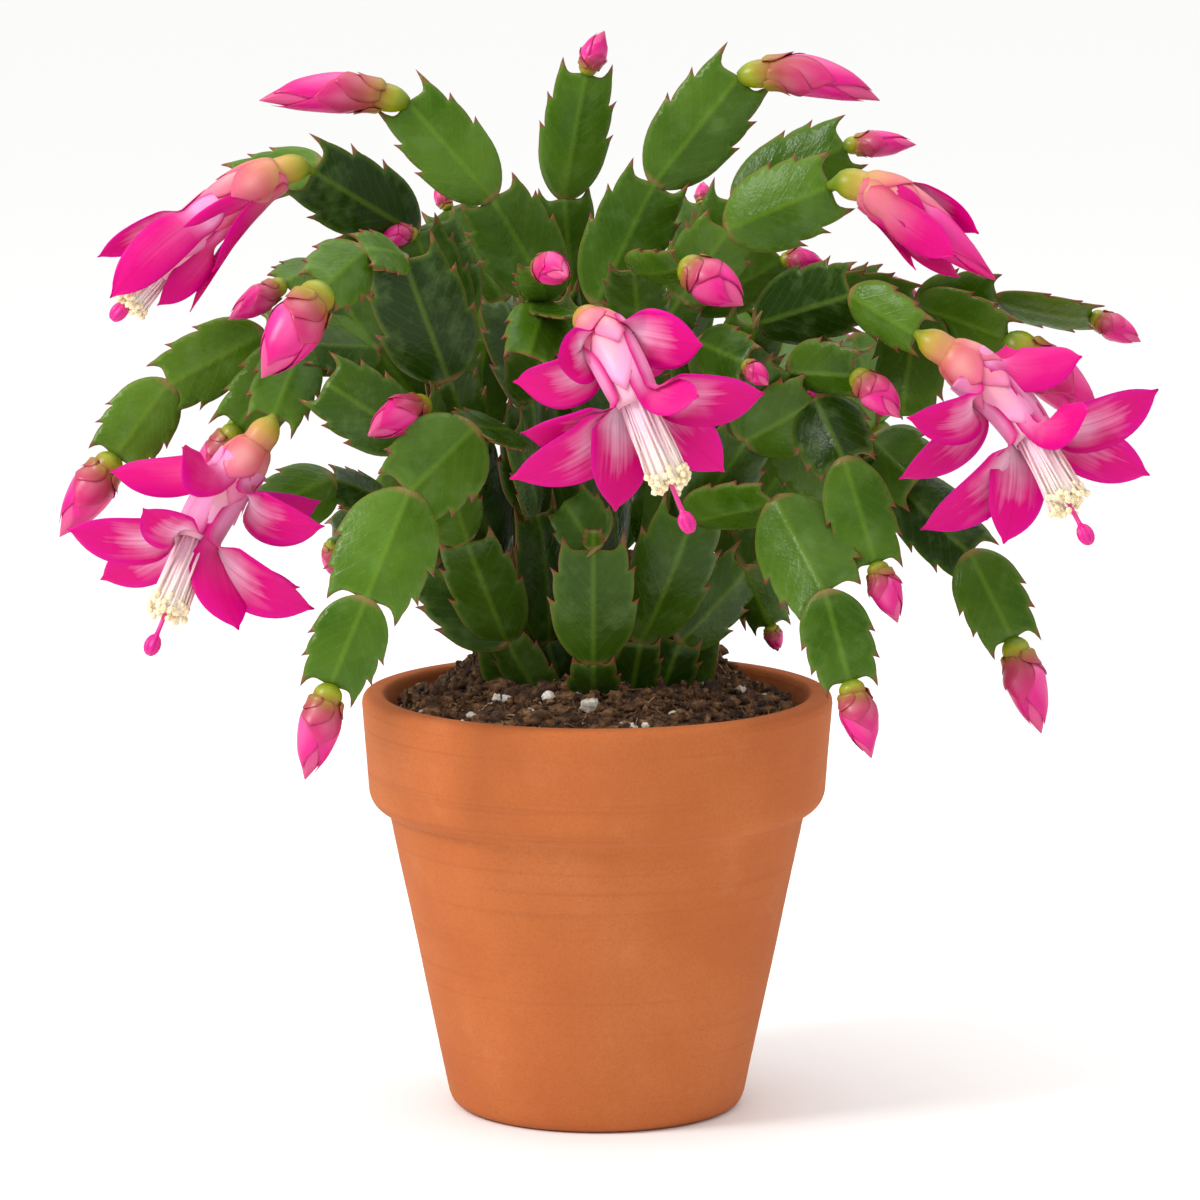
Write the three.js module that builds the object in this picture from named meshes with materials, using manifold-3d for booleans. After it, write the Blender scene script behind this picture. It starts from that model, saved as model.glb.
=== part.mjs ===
// A Christmas cactus in bud and bloom, in a standard clay pot. Millimetres, +Z up.
// The origin is the middle of the pot's foot, and the front of the plant faces -Y.

import * as THREE from 'three';
import { mergeVertices } from 'three/addons/utils/BufferGeometryUtils.js';
import Module from 'manifold-3d';

const wasm = await Module();
wasm.setup();

// Pot: a standard 13 cm clay pot
const RIM_RADIUS = 65;
const POT_HEIGHT = 116;
const COLLAR_HEIGHT = 33;
const COLLAR_FOOT_RADIUS = 63.3;
const SHOULDER_RADIUS = 57.6;
const FOOT_RADIUS = 40.5;
const FLOOR = 7;
const INNER_RIM_RADIUS = 58.5;
const INNER_FLOOR_RADIUS = 33;
const DRAIN_RADIUS = 6;
const POT_SIDES = 32;

// Soil
const SOIL_EDGE_HEIGHT = 110;
const SOIL_MOUND = 8.5;
const SOIL_GAP = 0.3;
const SOIL_SIDES = 26;
const ROOT_DEPTH = 12;
const ROOT_GAP = 0.4;
const ROOT_RISE = 1.8;

// Stems, buds and blooms
const RIB = 1.25;
const JOINT_LAP = 0.5;
const SEAT_GAP = 0.6;
const FUSE_TOLERANCE = 0.45;
const ROUNDING = 0.01;
const ROUNDING_PASSES = 3;
const PETAL_RIB = 0.65;

// The plant was measured as it is seen from the front, on an upright sheet that stands on the
// pot's axis. A place is [across, up, towards the viewer]: where its sight line meets the sheet,
// and how far along that line it lies in front of the sheet.
const EYE = new THREE.Vector3(0.8, -1593, 388);

function seen([across, up, near]) {
  const onSheet = new THREE.Vector3(across, 0, up);
  return onSheet.lerp(EYE, near / -EYE.y);
}

// The same small offset, from -1 to 1, comes back each time for the same two numbers.
function wobble(i, k) {
  const s = Math.sin(i * 12.9898 + k * 78.233) * 43758.5453;
  return 2 * (s - Math.floor(s)) - 1;
}

// Solids

function solid(points, faces) {
  return new wasm.Manifold(new wasm.Mesh({
    numProp: 3,
    vertProperties: new Float32Array(points.flatMap((p) => [p.x, p.y, p.z])),
    triVerts: new Uint32Array(faces.flat()),
  }));
}

// Rings of points, each anticlockwise seen from the last one back; a ring of one point is a tip.
function loft(rings) {
  const points = rings.flat();
  const faces = [];
  let start = 0;
  for (let r = 0; r + 1 < rings.length; r += 1) {
    const a = rings[r].length;
    const b = rings[r + 1].length;
    const next = start + a;
    for (let i = 0; i < Math.max(a, b); i += 1) {
      const j = (i + 1) % Math.max(a, b);
      if (a > 1) {
        faces.push([start + i, start + j, next + (b > 1 ? j : 0)]);
      }
      if (b > 1) {
        faces.push([start + (a > 1 ? i : 0), next + j, next + i]);
      }
    }
    start = next;
  }
  const first = rings[0].length;
  for (let i = 1; i + 1 < first; i += 1) {
    faces.push([0, i + 1, i]);
  }
  for (let i = 1; i + 1 < rings.at(-1).length; i += 1) {
    faces.push([start, start + i, start + i + 1]);
  }
  return solid(points, faces);
}

function ring(centre, along, reference, sides, radius, flat = radius) {
  const side = new THREE.Vector3().crossVectors(reference, along).normalize();
  const up = new THREE.Vector3().crossVectors(along, side);
  return Array.from({ length: sides }, (_, i) => {
    const angle = (2 * Math.PI * i) / sides;
    return centre.clone()
      .addScaledVector(side, radius * Math.cos(angle))
      .addScaledVector(up, flat * Math.sin(angle));
  });
}

// A blade is a lens: both faces share one outline and are split alike, and a rib stands out in
// the middle of each. right is the outline's right side from foot to tip, as [x, y]; hubs gives
// the rib point that each of its edges is joined to; rib is a list of [y, half thickness].
function blade(right, hubs, rib, place) {
  const left = [...right].reverse().filter(([x]) => x > 0).map(([x, y]) => [-x, y]);
  const outline = [...right, ...left];
  const top = left.length === right.length ? [hubs.at(-1)] : [];
  const hub = [...hubs, ...top, ...[...hubs].reverse(), 0];
  const count = outline.length;
  const points = outline.map(([x, y]) => place(x, y, 0));
  rib.forEach(([y, half]) => points.push(place(0, y, half), place(0, y, -half)));
  const faces = [];
  for (let i = 0; i < count; i += 1) {
    const j = (i + 1) % count;
    const front = count + 2 * hub[i];
    faces.push([i, j, front], [j, i, front + 1]);
    const before = count + 2 * hub[(i + count - 1) % count];
    if (before !== front) {
      faces.push([i, front, before], [i, before + 1, front + 1]);
    }
  }
  return solid(points, faces);
}

// Fuses solids to one body, less a bore. A hollow that the fusing seals is filled, and a loose scrap
// is dropped. Moving close points together can cut off one more hollow, so it is done repeatedly.
function join(solids, bore) {
  const fused = wasm.Manifold.union(solids).simplify(FUSE_TOLERANCE);
  let body = bore ? fused.subtract(bore) : fused;
  for (let pass = 0; pass < ROUNDING_PASSES; pass += 1) {
    body = largest(rounded(body));
  }
  return body;
}

function largest(body) {
  return body.decompose().reduce((a, b) => (b.volume() > a.volume() ? b : a));
}

function rounded(body) {
  const geometry = geometryOf(body);
  const { array } = geometry.attributes.position;
  array.forEach((x, i) => {
    array[i] = Math.round(x / ROUNDING) * ROUNDING;
  });
  const { attributes, index } = mergeVertices(geometry, ROUNDING / 10);
  return new wasm.Manifold(new wasm.Mesh({
    numProp: 3,
    vertProperties: attributes.position.array,
    triVerts: index.array,
  }));
}

function geometryOf(body) {
  const { vertProperties, triVerts } = body.getMesh();
  const geometry = new THREE.BufferGeometry();
  geometry.setAttribute('position', new THREE.BufferAttribute(vertProperties, 3));
  geometry.setIndex(new THREE.BufferAttribute(triVerts, 1));
  return geometry;
}

// Leafy stems

// One flat segment of a stem: narrow foot, two forward teeth on each side, and a cut-off tip
function segmentOutline(index, foot) {
  const first = 0.03 * wobble(index, 1);
  const second = 0.03 * wobble(index, 2);
  return [
    [foot, 0],
    [0.84, 0.27],
    [1.03, 0.5 + first],
    [0.87, 0.47 + first],
    [0.97, 0.77 + second],
    [0.78, 0.74 + second],
    [0.56, 1],
  ];
}
const SEGMENT_HUBS = [0, 1, 1, 1, 1, 2];
const SEGMENT_RIB = [[0, 0.6], [0.4, 1], [1, 0.95]];

const holes = [];

// A blade's flat side looks at the viewer as far as its direction lets it, then turns about it.
// Blooms at the back look at a viewer behind the plant.
function facing(at, along, turn, viewer = EYE) {
  const look = viewer.clone().sub(at).normalize();
  const normal = look.addScaledVector(along, -look.dot(along)).normalize();
  return normal.applyAxisAngle(along, THREE.MathUtils.degToRad(turn));
}

function segment(from, to, width, turn, index, isFirst) {
  const along = to.clone().sub(from).normalize();
  const start = from.clone().addScaledVector(along, isFirst ? -ROOT_DEPTH : -JOINT_LAP);
  const length = to.distanceTo(start);
  const normal = facing(from, along, turn);
  const side = new THREE.Vector3().crossVectors(along, normal);
  if (isFirst) {
    holes.push(plainHole(start, along, side, normal, width));
  }
  const bow = 0.05 * length * wobble(index, 4);
  const cup = 0.04 * width * wobble(index, 5);
  const thickness = RIB * Math.min(1, width / 14);
  const rib = SEGMENT_RIB.map(([y, half]) => [y, half * thickness]);
  const place = (x, y, h) => start.clone()
    .addScaledVector(along, length * y)
    .addScaledVector(side, (width / 2) * x)
    .addScaledVector(normal, h + 4 * bow * y * (1 - y) - cup * x * x);
  return blade(segmentOutline(index, isFirst ? 0.7 : 0.13), SEGMENT_HUBS, rib, place);
}

// The hole in the soil that a stem's foot stands in
function plainHole(start, along, side, normal, width) {
  const halfWidth = 0.53 * width + ROOT_GAP;
  const halfThickness = 2 * RIB + ROOT_GAP;
  const corners = [[1, 1], [1, -1], [-1, -1], [-1, 1]];
  return loft([-ROOT_GAP, 2.2 * ROOT_DEPTH].map((x) => corners.map(([i, k]) => start.clone()
    .addScaledVector(along, x)
    .addScaledVector(side, i * halfWidth)
    .addScaledVector(normal, k * halfThickness))));
}

// Each stem has its root's place in the soil, as [x, towards the viewer], and its joints in
// order: [the joint it grows from, across, up, towards the viewer, width, turn]. Joint 0 is the
// root.
const STEMS = {
  stem_front: [[-1, 20], [
    [0, -1, 124, 27, 16, 0],
    [1, -1, 156, 35, 24, 0],
    [2, -9, 169, 20, 18, -15],
    [2, -1, 161, 39, 6, 0],
  ]],
  stem_front_right: [[10, 9], [
    [0, 12, 130, 13, 15, 10],
    [1, 26, 164, 22, 25, 15],
    [2, 49, 169, 44, 22, 50],
    [3, 63, 143, 62, 27, 8],
    [4, 70, 118, 66, 20, 0],
    [2, 41, 186, 30, 22, 20],
    [6, 60, 197, 38, 22, 15],
    [7, 68, 180, 50, 22, 0],
    [8, 77, 151, 56, 19, 0],
    [6, 53, 205, 36, 20, 25],
    [10, 71, 204, 48, 18, 30],
  ]],
  stem_left_low: [[-18, 3], [
    [0, -25, 130, 6, 15, -20],
    [1, -36, 158, 22, 21, -10],
    [2, -40, 171, 34, 17, 20],
    [3, -50, 186, 40, 22, 10],
    [4, -75, 202, 40, 22, 0],
    [1, -46, 151, 2, 22, 20],
    [6, -58, 169, -12, 22, 10],
    [7, -73, 175, -8, 16, 40],
    [8, -91, 166, 0, 20, 20],
    [7, -73, 158, -34, 18, 30],
  ]],
  stem_right_low: [[19, 1], [
    [0, 23, 130, 4, 16, 0],
    [1, 41, 150, -8, 22, 35],
    [2, 48, 134, -18, 15, 10],
    [2, 59, 164, -20, 24, 20],
    [4, 81, 175, -6, 22, 20],
    [5, 103, 154, 14, 21, 0],
    [6, 115, 130, 22, 20, 0],
    [4, 76, 186, -10, 22, 10],
    [8, 88, 174, 4, 22, 10],
  ]],
  stem_centre: [[-11, -7], [
    [0, -14, 130, -6, 15, 0],
    [1, -17, 166, 2, 22, 45],
    [2, -18, 197, 10, 22, 50],
    [3, -14, 224, 34, 20, 30],
    [4, -4, 220, 68, 16, -75],
    [4, -19, 209, 60, 17, 0],
    [4, -16, 234, 58, 15, 0],
    [2, -23, 188, 26, 18, 60],
    [8, -34, 189, 54, 20, 60],
    [9, -52, 171, 66, 27, 0],
    [10, -64, 141, 76, 28, 0],
    [11, -74, 117, 78, 21, 0],
  ]],
  stem_left_high: [[-8, -16], [
    [0, -9, 153, -14, 18, 0],
    [1, -11, 189, -8, 22, 20],
    [2, -13, 226, 0, 23, 10],
    [3, -29, 253, 6, 24, 0],
    [4, -52, 279, 8, 22, 0],
    [2, -26, 225, -32, 20, 50],
    [6, -41, 250, -44, 20, 10],
  ]],
  stem_top: [[3, -24], [
    [0, -1, 154, -28, 18, 0],
    [1, -4, 186, -30, 22, 0],
    [2, -6, 219, -32, 22, 0],
    [3, -9, 253, -26, 20, 0],
    [4, -3, 287, -20, 20, 0],
  ]],
  stem_right_high: [[6, -5], [
    [0, 5, 153, 0, 16, -60],
    [1, 2, 189, 6, 22, 50],
    [2, 0, 224, 8, 23, 0],
    [3, 16, 257, 10, 24, 0],
    [4, 39, 286, 12, 24, 0],
    [2, 12, 211, 16, 22, 10],
    [6, 23, 225, 18, 20, 20],
    [7, 36, 244, 24, 22, 10],
    [8, 64, 256, 34, 24, 0],
    [6, 10, 233, 42, 18, 0],
    [10, 24, 234, 62, 16, 50],
  ]],
  stem_left_mid: [[-25, -14], [
    [0, -28, 152, -13, 16, 0],
    [1, -35, 182, 6, 22, 20],
    [2, -41, 203, 34, 20, 30],
    [3, -53, 236, 46, 27, 0],
    [4, -64, 238, 60, 16, 50],
    [5, -75, 228, 76, 19, 0],
    [4, -72, 239, 40, 14, 60],
    [2, -47, 196, 44, 15, 20],
    [2, -39, 216, -2, 22, 50],
    [9, -50, 243, 0, 22, 15],
    [10, -78, 260, 22, 24, 0],
    [10, -76, 262, -12, 16, 20],
    [12, -100, 257, -14, 18, 40],
    [9, -46, 246, -18, 22, 0],
  ]],
  stem_left_side: [[-17, -26], [
    [0, -25, 154, -24, 18, 55],
    [1, -41, 186, -12, 22, 50],
    [2, -61, 211, 4, 22, 10],
    [3, -81, 212, 22, 20, 45],
    [4, -89, 192, 40, 19, 0],
    [4, -99, 189, 20, 20, 10],
    [3, -92, 215, 6, 22, 30],
    [7, -118, 201, 14, 21, 0],
    [8, -133, 181, 18, 20, 0],
    [3, -76, 234, -6, 18, 20],
    [10, -86, 229, 6, 14, 30],
  ]],
  stem_right_mid: [[24, -10], [
    [0, 25, 153, -8, 18, -30],
    [1, 32, 186, 4, 22, -45],
    [2, 44, 218, 16, 22, 10],
    [3, 70, 226, 36, 23, 10],
    [4, 88, 215, 48, 16, 20],
    [3, 62, 224, -2, 18, 45],
    [6, 77, 229, -10, 16, 40],
    [6, 88, 223, 8, 22, 45],
    [8, 110, 225, 12, 20, 30],
    [9, 136, 220, 14, 16, 55],
    [8, 113, 214, 20, 20, 35],
    [2, 28, 213, 24, 20, 0],
    [12, 41, 207, 44, 16, 0],
    [8, 84, 192, 14, 22, 20],
    [12, 51, 192, 6, 22, 15],
    [15, 68, 172, -2, 24, 10],
  ]],
  stem_right_back: [[10, -30], [
    [0, 13, 156, -34, 18, 0],
    [1, 18, 189, -40, 22, -60],
    [2, 27, 222, -40, 22, 45],
    [3, 38, 252, -32, 22, 10],
    [4, 68, 267, -26, 22, 0],
    [3, 51, 236, -26, 18, 20],
    [3, 29, 251, -60, 20, 35],
    [2, 45, 204, -56, 22, -60],
    [8, 70, 214, -66, 22, -50],
    [9, 78, 190, -78, 20, -30],
    [8, 40, 222, -70, 22, 60],
    [11, 42, 216, -82, 20, 40],
  ]],
  stem_back: [[-2, -42], [
    [0, -4, 152, -46, 18, 70],
    [1, -6, 184, -50, 22, -60],
    [2, -4, 214, -54, 23, 40],
    [3, 2, 238, -64, 22, 40],
    [4, 4, 226, -80, 20, 20],
    [3, -30, 228, -66, 22, 60],
    [6, -44, 206, -82, 20, 35],
    [2, -4, 188, -76, 20, 60],
    [8, -10, 166, -90, 19, 35],
    [2, 18, 176, -58, 22, 15],
    [10, 38, 160, -56, 22, 10],
    [11, 46, 138, -52, 20, 15],
    [1, 8, 170, -47, 20, 0],
    [11, 53, 181, -62, 20, 10],
  ]],
  stem_back_left: [[-22, -40], [
    [0, -28, 152, -43, 18, 60],
    [1, -38, 180, -52, 22, -60],
    [2, -56, 206, -58, 22, 45],
    [3, -82, 214, -70, 22, 40],
    [4, -98, 192, -82, 20, 25],
    [2, -46, 184, -78, 22, -60],
    [6, -58, 161, -90, 20, -35],
    [3, -66, 236, -54, 20, 60],
    [1, -44, 168, -40, 22, 15],
    [9, -38, 142, -52, 20, 30],
    [2, -30, 214, -46, 22, 10],
    [1, -23, 177, -48, 20, 0],
  ]],
};

// Buds: [stem, joint, tip across, tip up, tip towards the viewer, width]
const BUDS = {
  bud_01: ['stem_left_high', 5, -92, 279, 14, 11.6],
  bud_02: ['stem_top', 5, 2, 298, -18, 7.7],
  bud_03: ['stem_right_high', 5, 77, 279, 16, 11.6],
  bud_04: ['stem_right_back', 5, 87, 267, -22, 7.7],
  bud_05: ['stem_left_side', 11, -101, 219, 14, 8.3],
  bud_06: ['stem_left_mid', 6, -92, 203, 88, 15],
  bud_07: ['stem_left_side', 9, -148, 159, 22, 12.4],
  bud_08: ['stem_left_side', 6, -112, 170, 18, 10.5],
  bud_09: ['stem_right_back', 10, 74, 166, -88, 12],
  bud_10: ['stem_centre', 7, -8, 231, 80, 9],
  bud_11: ['stem_right_high', 11, 40, 223, 74, 12.5],
  bud_12: ['stem_left_mid', 8, -63, 187, 62, 10.4],
  bud_13: ['stem_right_mid', 7, 88, 226, -8, 6],
  bud_14: ['stem_right_mid', 10, 149, 213, 18, 7.7],
  bud_15: ['stem_front_right', 11, 83, 192, 58, 9.7],
  bud_16: ['stem_right_mid', 11, 138, 190, 24, 14],
  bud_17: ['stem_front_right', 9, 83, 135, 60, 9],
  bud_18: ['stem_front_right', 5, 76, 97, 68, 10.5],
  bud_19: ['stem_right_low', 7, 123, 104, 26, 11.6],
  bud_20: ['stem_centre', 12, -81, 91, 82, 11.6],
  bud_21: ['stem_back', 7, -50, 181, -92, 11],
  bud_22: ['stem_back', 9, -12, 143, -96, 10],
  bud_23: ['stem_back_left', 5, -100, 162, -88, 12],
  bud_24: ['stem_back_left', 7, -62, 139, -97, 9],
};

// The smallest buds are still part of their stems.
const TINY_BUDS = [
  ['stem_left_mid', 10, -59, 239, 12, 6.5],
  ['stem_right_back', 6, 62, 235, -22, 6.5],
  ['stem_right_mid', 13, 47, 201, 50, 6],
  ['stem_right_low', 3, 50, 127, -20, 5.5],
  ['stem_left_low', 10, -73, 148, -38, 6],
  ['stem_left_high', 7, -44, 256, -46, 5],
  ['stem_right_back', 7, 29, 257, -64, 5],
];

// Blooms: the stem and joint they hang from, the middle of the mouth, the end of the pistil, and
// the petals: [foot's place on the tube, tip across, tip up, tip towards the viewer, width].
const BLOOMS = {
  bloom_left: {
    on: ['stem_left_side', 5],
    mouth: [-111, 157, 50],
    end: [-124, 126, 66],
    petals: [
      [0.57, -114, 184, 66, 13.5],
      [0.57, -134, 177, 48, 13.5],
      [0.57, -76, 169, 34, 13.5],
      [0.57, -75, 162, 58, 14.5],
      [0.95, -125, 167, 68, 13.5],
      [0.95, -146, 161, 56, 14.5],
      [0.95, -137, 147, 38, 14.5],
      [0.95, -99, 133, 62, 16],
      [0.95, -78, 139, 58, 16],
      [0.95, -82, 145, 36, 14.5],
    ],
  },
  bloom_centre: {
    on: ['stem_centre', 5],
    mouth: [11, 196, 99],
    end: [26, 160, 108],
    petals: [
      [0.57, -11, 207, 97, 16],
      [0.57, -23, 202, 80, 14.5],
      [0.57, 29, 212, 96, 16],
      [0.57, 21, 214, 72, 13.5],
      [0.95, -21, 188, 96, 14.5],
      [0.95, -24, 175, 98, 16],
      [0.95, 5, 166, 100, 17],
      [0.95, 35, 177, 90, 16],
      [0.95, 46, 199, 98, 16],
      [0.95, 28, 198, 112, 12],
    ],
  },
  bloom_right: {
    on: ['stem_right_mid', 5],
    mouth: [120, 186, 58],
    end: [136, 157, 74],
    petals: [
      [0.57, 133, 209, 60, 14.5],
      [0.57, 85, 192, 66, 14.5],
      [0.57, 83, 175, 50, 13.5],
      [0.57, 112, 212, 36, 13.5],
      [0.95, 154, 200, 62, 16],
      [0.95, 152, 176, 56, 16],
      [0.95, 146, 185, 38, 14.5],
      [0.95, 112, 157, 64, 17],
      [0.95, 89, 161, 66, 14.5],
      [0.95, 135, 194, 80, 13.5],
    ],
  },
  bloom_half_open: {
    on: ['stem_left_mid', 11],
    mouth: [-121, 232, 38],
    end: [-133, 219, 42],
    slim: 0.95,
    petals: [
      [0.34, -116, 241.8, 42, 11],
      [0.34, -106, 245, 24, 11],
      [0.34, -105.3, 232.2, 42, 10],
      [0.5, -111.5, 221.2, 38, 7],
      [0.75, -136.7, 236.3, 34, 9],
      [0.75, -133.3, 225, 48, 13],
      [0.75, -120.5, 223, 42, 10],
      [0.75, -129, 231, 24, 12],
    ],
  },
  bloom_opening: {
    on: ['stem_right_high', 9],
    mouth: [109, 230, 47],
    end: [119, 222, 49],
    closed: true,
    petals: [
      [0.3, 90.6, 247.8, 48, 11],
      [0.3, 85.2, 242.1, 50, 10],
      [0.34, 87.2, 232.7, 44, 6.5],
      [0.3, 88, 246, 30, 11],
      [0.45, 104.3, 242.7, 42, 11],
      [0.45, 98.1, 236.6, 56, 12],
      [0.5, 99.3, 230.7, 42, 9],
    ],
  },
  bloom_back: {
    on: ['stem_back', 5],
    mouth: [6, 196, -98],
    end: [10, 165, -106],
    petals: [
      [0.57, 28, 208, -86, 14.5],
      [0.57, 10, 222, -92, 14.5],
      [0.57, -17, 211, -88, 14.5],
      [0.57, -18, 188, -80, 14.5],
      [0.57, 24, 182, -78, 14.5],
      [0.95, 32, 196, -102, 16],
      [0.95, 19, 214, -110, 16],
      [0.95, -6, 212, -110, 16],
      [0.95, -20, 188, -102, 16],
      [0.95, 4, 170, -90, 16],
    ],
  },
  bloom_back_right: {
    on: ['stem_right_back', 12],
    mouth: [50, 199, -92],
    end: [56, 169, -104],
    petals: [
      [0.57, 74, 213, -84, 14.5],
      [0.57, 54, 225, -88, 14.5],
      [0.57, 32, 217, -82, 14.5],
      [0.57, 28, 195, -76, 14.5],
      [0.57, 64, 191, -74, 14.5],
      [0.95, 76, 203, -100, 16],
      [0.95, 62, 219, -108, 16],
      [0.95, 40, 219, -107, 16],
      [0.95, 28, 197, -100, 16],
      [0.95, 50, 177, -86, 16],
    ],
  },
};

const joints = {};
const stemSolids = {};

// Soil height above the pot's foot: a low mound, small lumps, and two heaps by the back wall
function soilHeight(x, y) {
  const r = Math.hypot(x, y) / INNER_RIM_RADIUS;
  const lumps = 0.7 * Math.sin(0.31 * x + 1.3) * Math.sin(0.27 * y) + 0.5 * Math.sin(0.53 * x - 0.41 * y);
  const heap = (hx, hy) => 8.5 * Math.exp(-((x - hx) ** 2 + (y - hy) ** 2) / 90);
  return SOIL_EDGE_HEIGHT + SOIL_MOUND * (1 - r * r) + lumps + heap(-33, 38) + heap(31, 40);
}

let segmentIndex = 0;
for (const [name, [[rootX, rootNear], rows]] of Object.entries(STEMS)) {
  const root = new THREE.Vector3(rootX, -rootNear, soilHeight(rootX, -rootNear) + ROOT_RISE);
  const places = [root];
  const along = [new THREE.Vector3(0, 0, 1)];
  const pieces = [];
  rows.forEach(([from, across, up, near, width, turn]) => {
    const to = seen([across, up, near]);
    segmentIndex += 1;
    pieces.push(segment(places[from], to, width, turn, segmentIndex, from === 0));
    along.push(to.clone().sub(places[from]).normalize());
    places.push(to);
  });
  joints[name] = { places, along };
  stemSolids[name] = pieces;
}

// Buds: an ovary, then overlapping sepals and petals drawn to a point

const BUD_PROFILE = [[0, 0.1], [0.08, 0.31], [0.26, 0.35], [0.5, 0.5], [0.76, 0.36], [1, 0]];
const BUD_SIDES = 5;

// A bud leaves in line with its segment and bends over towards its tip.
function bud([stem, joint, across, up, near, width], sides, gap) {
  const from = joints[stem].places[joint];
  const leaves = joints[stem].along[joint];
  const tip = seen([across, up, near]);
  const start = from.clone().addScaledVector(leaves, gap);
  const length = tip.distanceTo(start);
  const along = tip.clone().sub(start).normalize();
  const turned = Math.sin(Math.min(along.angleTo(leaves), Math.PI / 2));
  const control = start.clone().lerp(tip, 0.3).addScaledVector(leaves, 0.24 * length * turned);
  const curve = new THREE.QuadraticBezierCurve3(start, control, tip);
  const reference = facing(start, along, 0);
  return loft(BUD_PROFILE.map(([y, r], i) => {
    const direction = y ? curve.getTangent(y) : leaves;
    const twist = reference.clone().applyAxisAngle(along, 0.35 * i);
    return r ? ring(curve.getPoint(y), direction, twist, sides, width * r) : [tip];
  }));
}

TINY_BUDS.forEach((row) => stemSolids[row[0]].push(bud(row, BUD_SIDES, -1)));

// Blooms

const TUBE_PROFILE = [
  [0, 1.2], [0.15, 4.4], [0.3, 4.9], [0.45, 6.9], [0.7, 6.2], [0.95, 7.2], [1, 6.4],
];
const CLOSED_PROFILE = [
  [0, 1.2], [0.13, 4.4], [0.26, 4.7], [0.42, 6.8], [0.64, 6.3], [0.86, 3.4], [1, 0.5],
];
const TUBE_SIDES = 6;
const PETAL_OUTLINE = [[0.3, 0], [0.66, 0.26], [1, 0.55], [0.7, 0.82], [0, 1]];
const PETAL_HUBS = [0, 1, 1, 2];
const PETAL_SHOW = 0.6;
const COLUMN_RADIUS = 3.4;
const STYLE_RADIUS = 0.75;
const ANTHERS = 5;

function bloomCurve(name) {
  const { on: [stem, joint], mouth, end } = BLOOMS[name];
  const from = joints[stem].places[joint];
  const m = seen(mouth);
  const s = seen(end);
  const out = s.clone().sub(m).normalize();
  const control = m.clone().addScaledVector(out, -0.45 * m.distanceTo(from));
  const leaves = joints[stem].along[joint];
  const start = from.clone().addScaledVector(leaves, SEAT_GAP);
  const near = start.clone().addScaledVector(leaves, 0.2 * m.distanceTo(from));
  return { curve: new THREE.CubicBezierCurve3(start, near, control, m), m, s, out };
}

function petal(curve, [at, across, up, near, width], index, slim, viewer) {
  const centre = curve.getPoint(at);
  const axis = curve.getTangent(at);
  const tip = seen([across, up, near]);
  const outward = tip.clone().sub(centre);
  outward.addScaledVector(axis, -outward.dot(axis)).normalize();
  const foot = centre.clone().addScaledVector(outward, 4.8 * slim).addScaledVector(axis, -1.5);
  const length = tip.distanceTo(foot);
  const ahead = tip.clone().sub(foot).dot(axis) / length;
  const spread = 0.8 - 0.6 * THREE.MathUtils.smoothstep(ahead, 0.3, 1);
  const lean = outward.clone().multiplyScalar(spread).addScaledVector(axis, 0.75).normalize();
  const knee = foot.clone().addScaledVector(lean, 0.45 * length);
  const line = new THREE.QuadraticBezierCurve3(foot, knee, tip);
  const chord = tip.clone().sub(foot).normalize();
  const shown = new THREE.Vector3().crossVectors(chord, facing(foot, chord, 0, viewer));
  const side = new THREE.Vector3().crossVectors(axis, outward).normalize();
  side.lerp(shown.multiplyScalar(Math.sign(shown.dot(side)) || 1), PETAL_SHOW).normalize();
  const cup = 0.12 * width * (1 + 0.5 * wobble(index, 6));
  const place = (x, y, h) => {
    const t = line.getTangent(y);
    const normal = new THREE.Vector3().crossVectors(side, t).normalize();
    return line.getPoint(y)
      .addScaledVector(side, (width / 2) * x)
      .addScaledVector(normal, h - cup * x * x);
  };
  const rib = [[0, PETAL_RIB], [0.3, PETAL_RIB], [0.7, PETAL_RIB * 0.8]];
  return blade(PETAL_OUTLINE, PETAL_HUBS, rib, place);
}

function perianth(name) {
  const { petals, slim = 1, closed } = BLOOMS[name];
  const { curve } = bloomCurve(name);
  const reference = facing(curve.v0, curve.getTangent(0.5), 20);
  const viewer = new THREE.Vector3(0, Math.sign(curve.v3.y) * -EYE.y, EYE.z);
  const tube = (closed ? CLOSED_PROFILE : TUBE_PROFILE).map(([y, r]) => ring(
    curve.getPoint(y), curve.getTangent(y), reference, TUBE_SIDES, r * slim));
  return join([loft(tube), ...petals.map((row, i) => petal(curve, row, i, slim, viewer))]);
}

// A bundle of filaments with a ridged outside and a bore for the style, and anthers at its end
function stamens(name) {
  const { m, s, out } = bloomCurve(name);
  const reach = 0.62 * m.distanceTo(s);
  const reference = facing(m, out, 0);
  const at = (x) => m.clone().addScaledVector(out, x);
  const ridged = (x, radius) => ring(at(x), out, reference, 8, radius).map((p, i) => (
    i % 2 ? p.lerp(at(x), 0.16) : p));
  const column = loft([ridged(SEAT_GAP, COLUMN_RADIUS), ridged(reach, COLUMN_RADIUS * 1.3)]);
  const knobs = Array.from({ length: ANTHERS }, (_, i) => {
    const outward = reference.clone().applyAxisAngle(out, (2 * Math.PI * i) / ANTHERS);
    const centre = at(reach + 1.2 * wobble(i, 7)).addScaledVector(outward, COLUMN_RADIUS * 1.3);
    return loft([
      [centre.clone().addScaledVector(out, -2)],
      ring(centre, out, outward, 4, 1.6),
      [centre.clone().addScaledVector(out, 2)],
    ]);
  });
  const bore = loft([-1, 2 * reach].map((x) => ring(at(x), out, reference, 6, STYLE_RADIUS + 0.45)));
  return join([column, ...knobs], bore);
}

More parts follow.
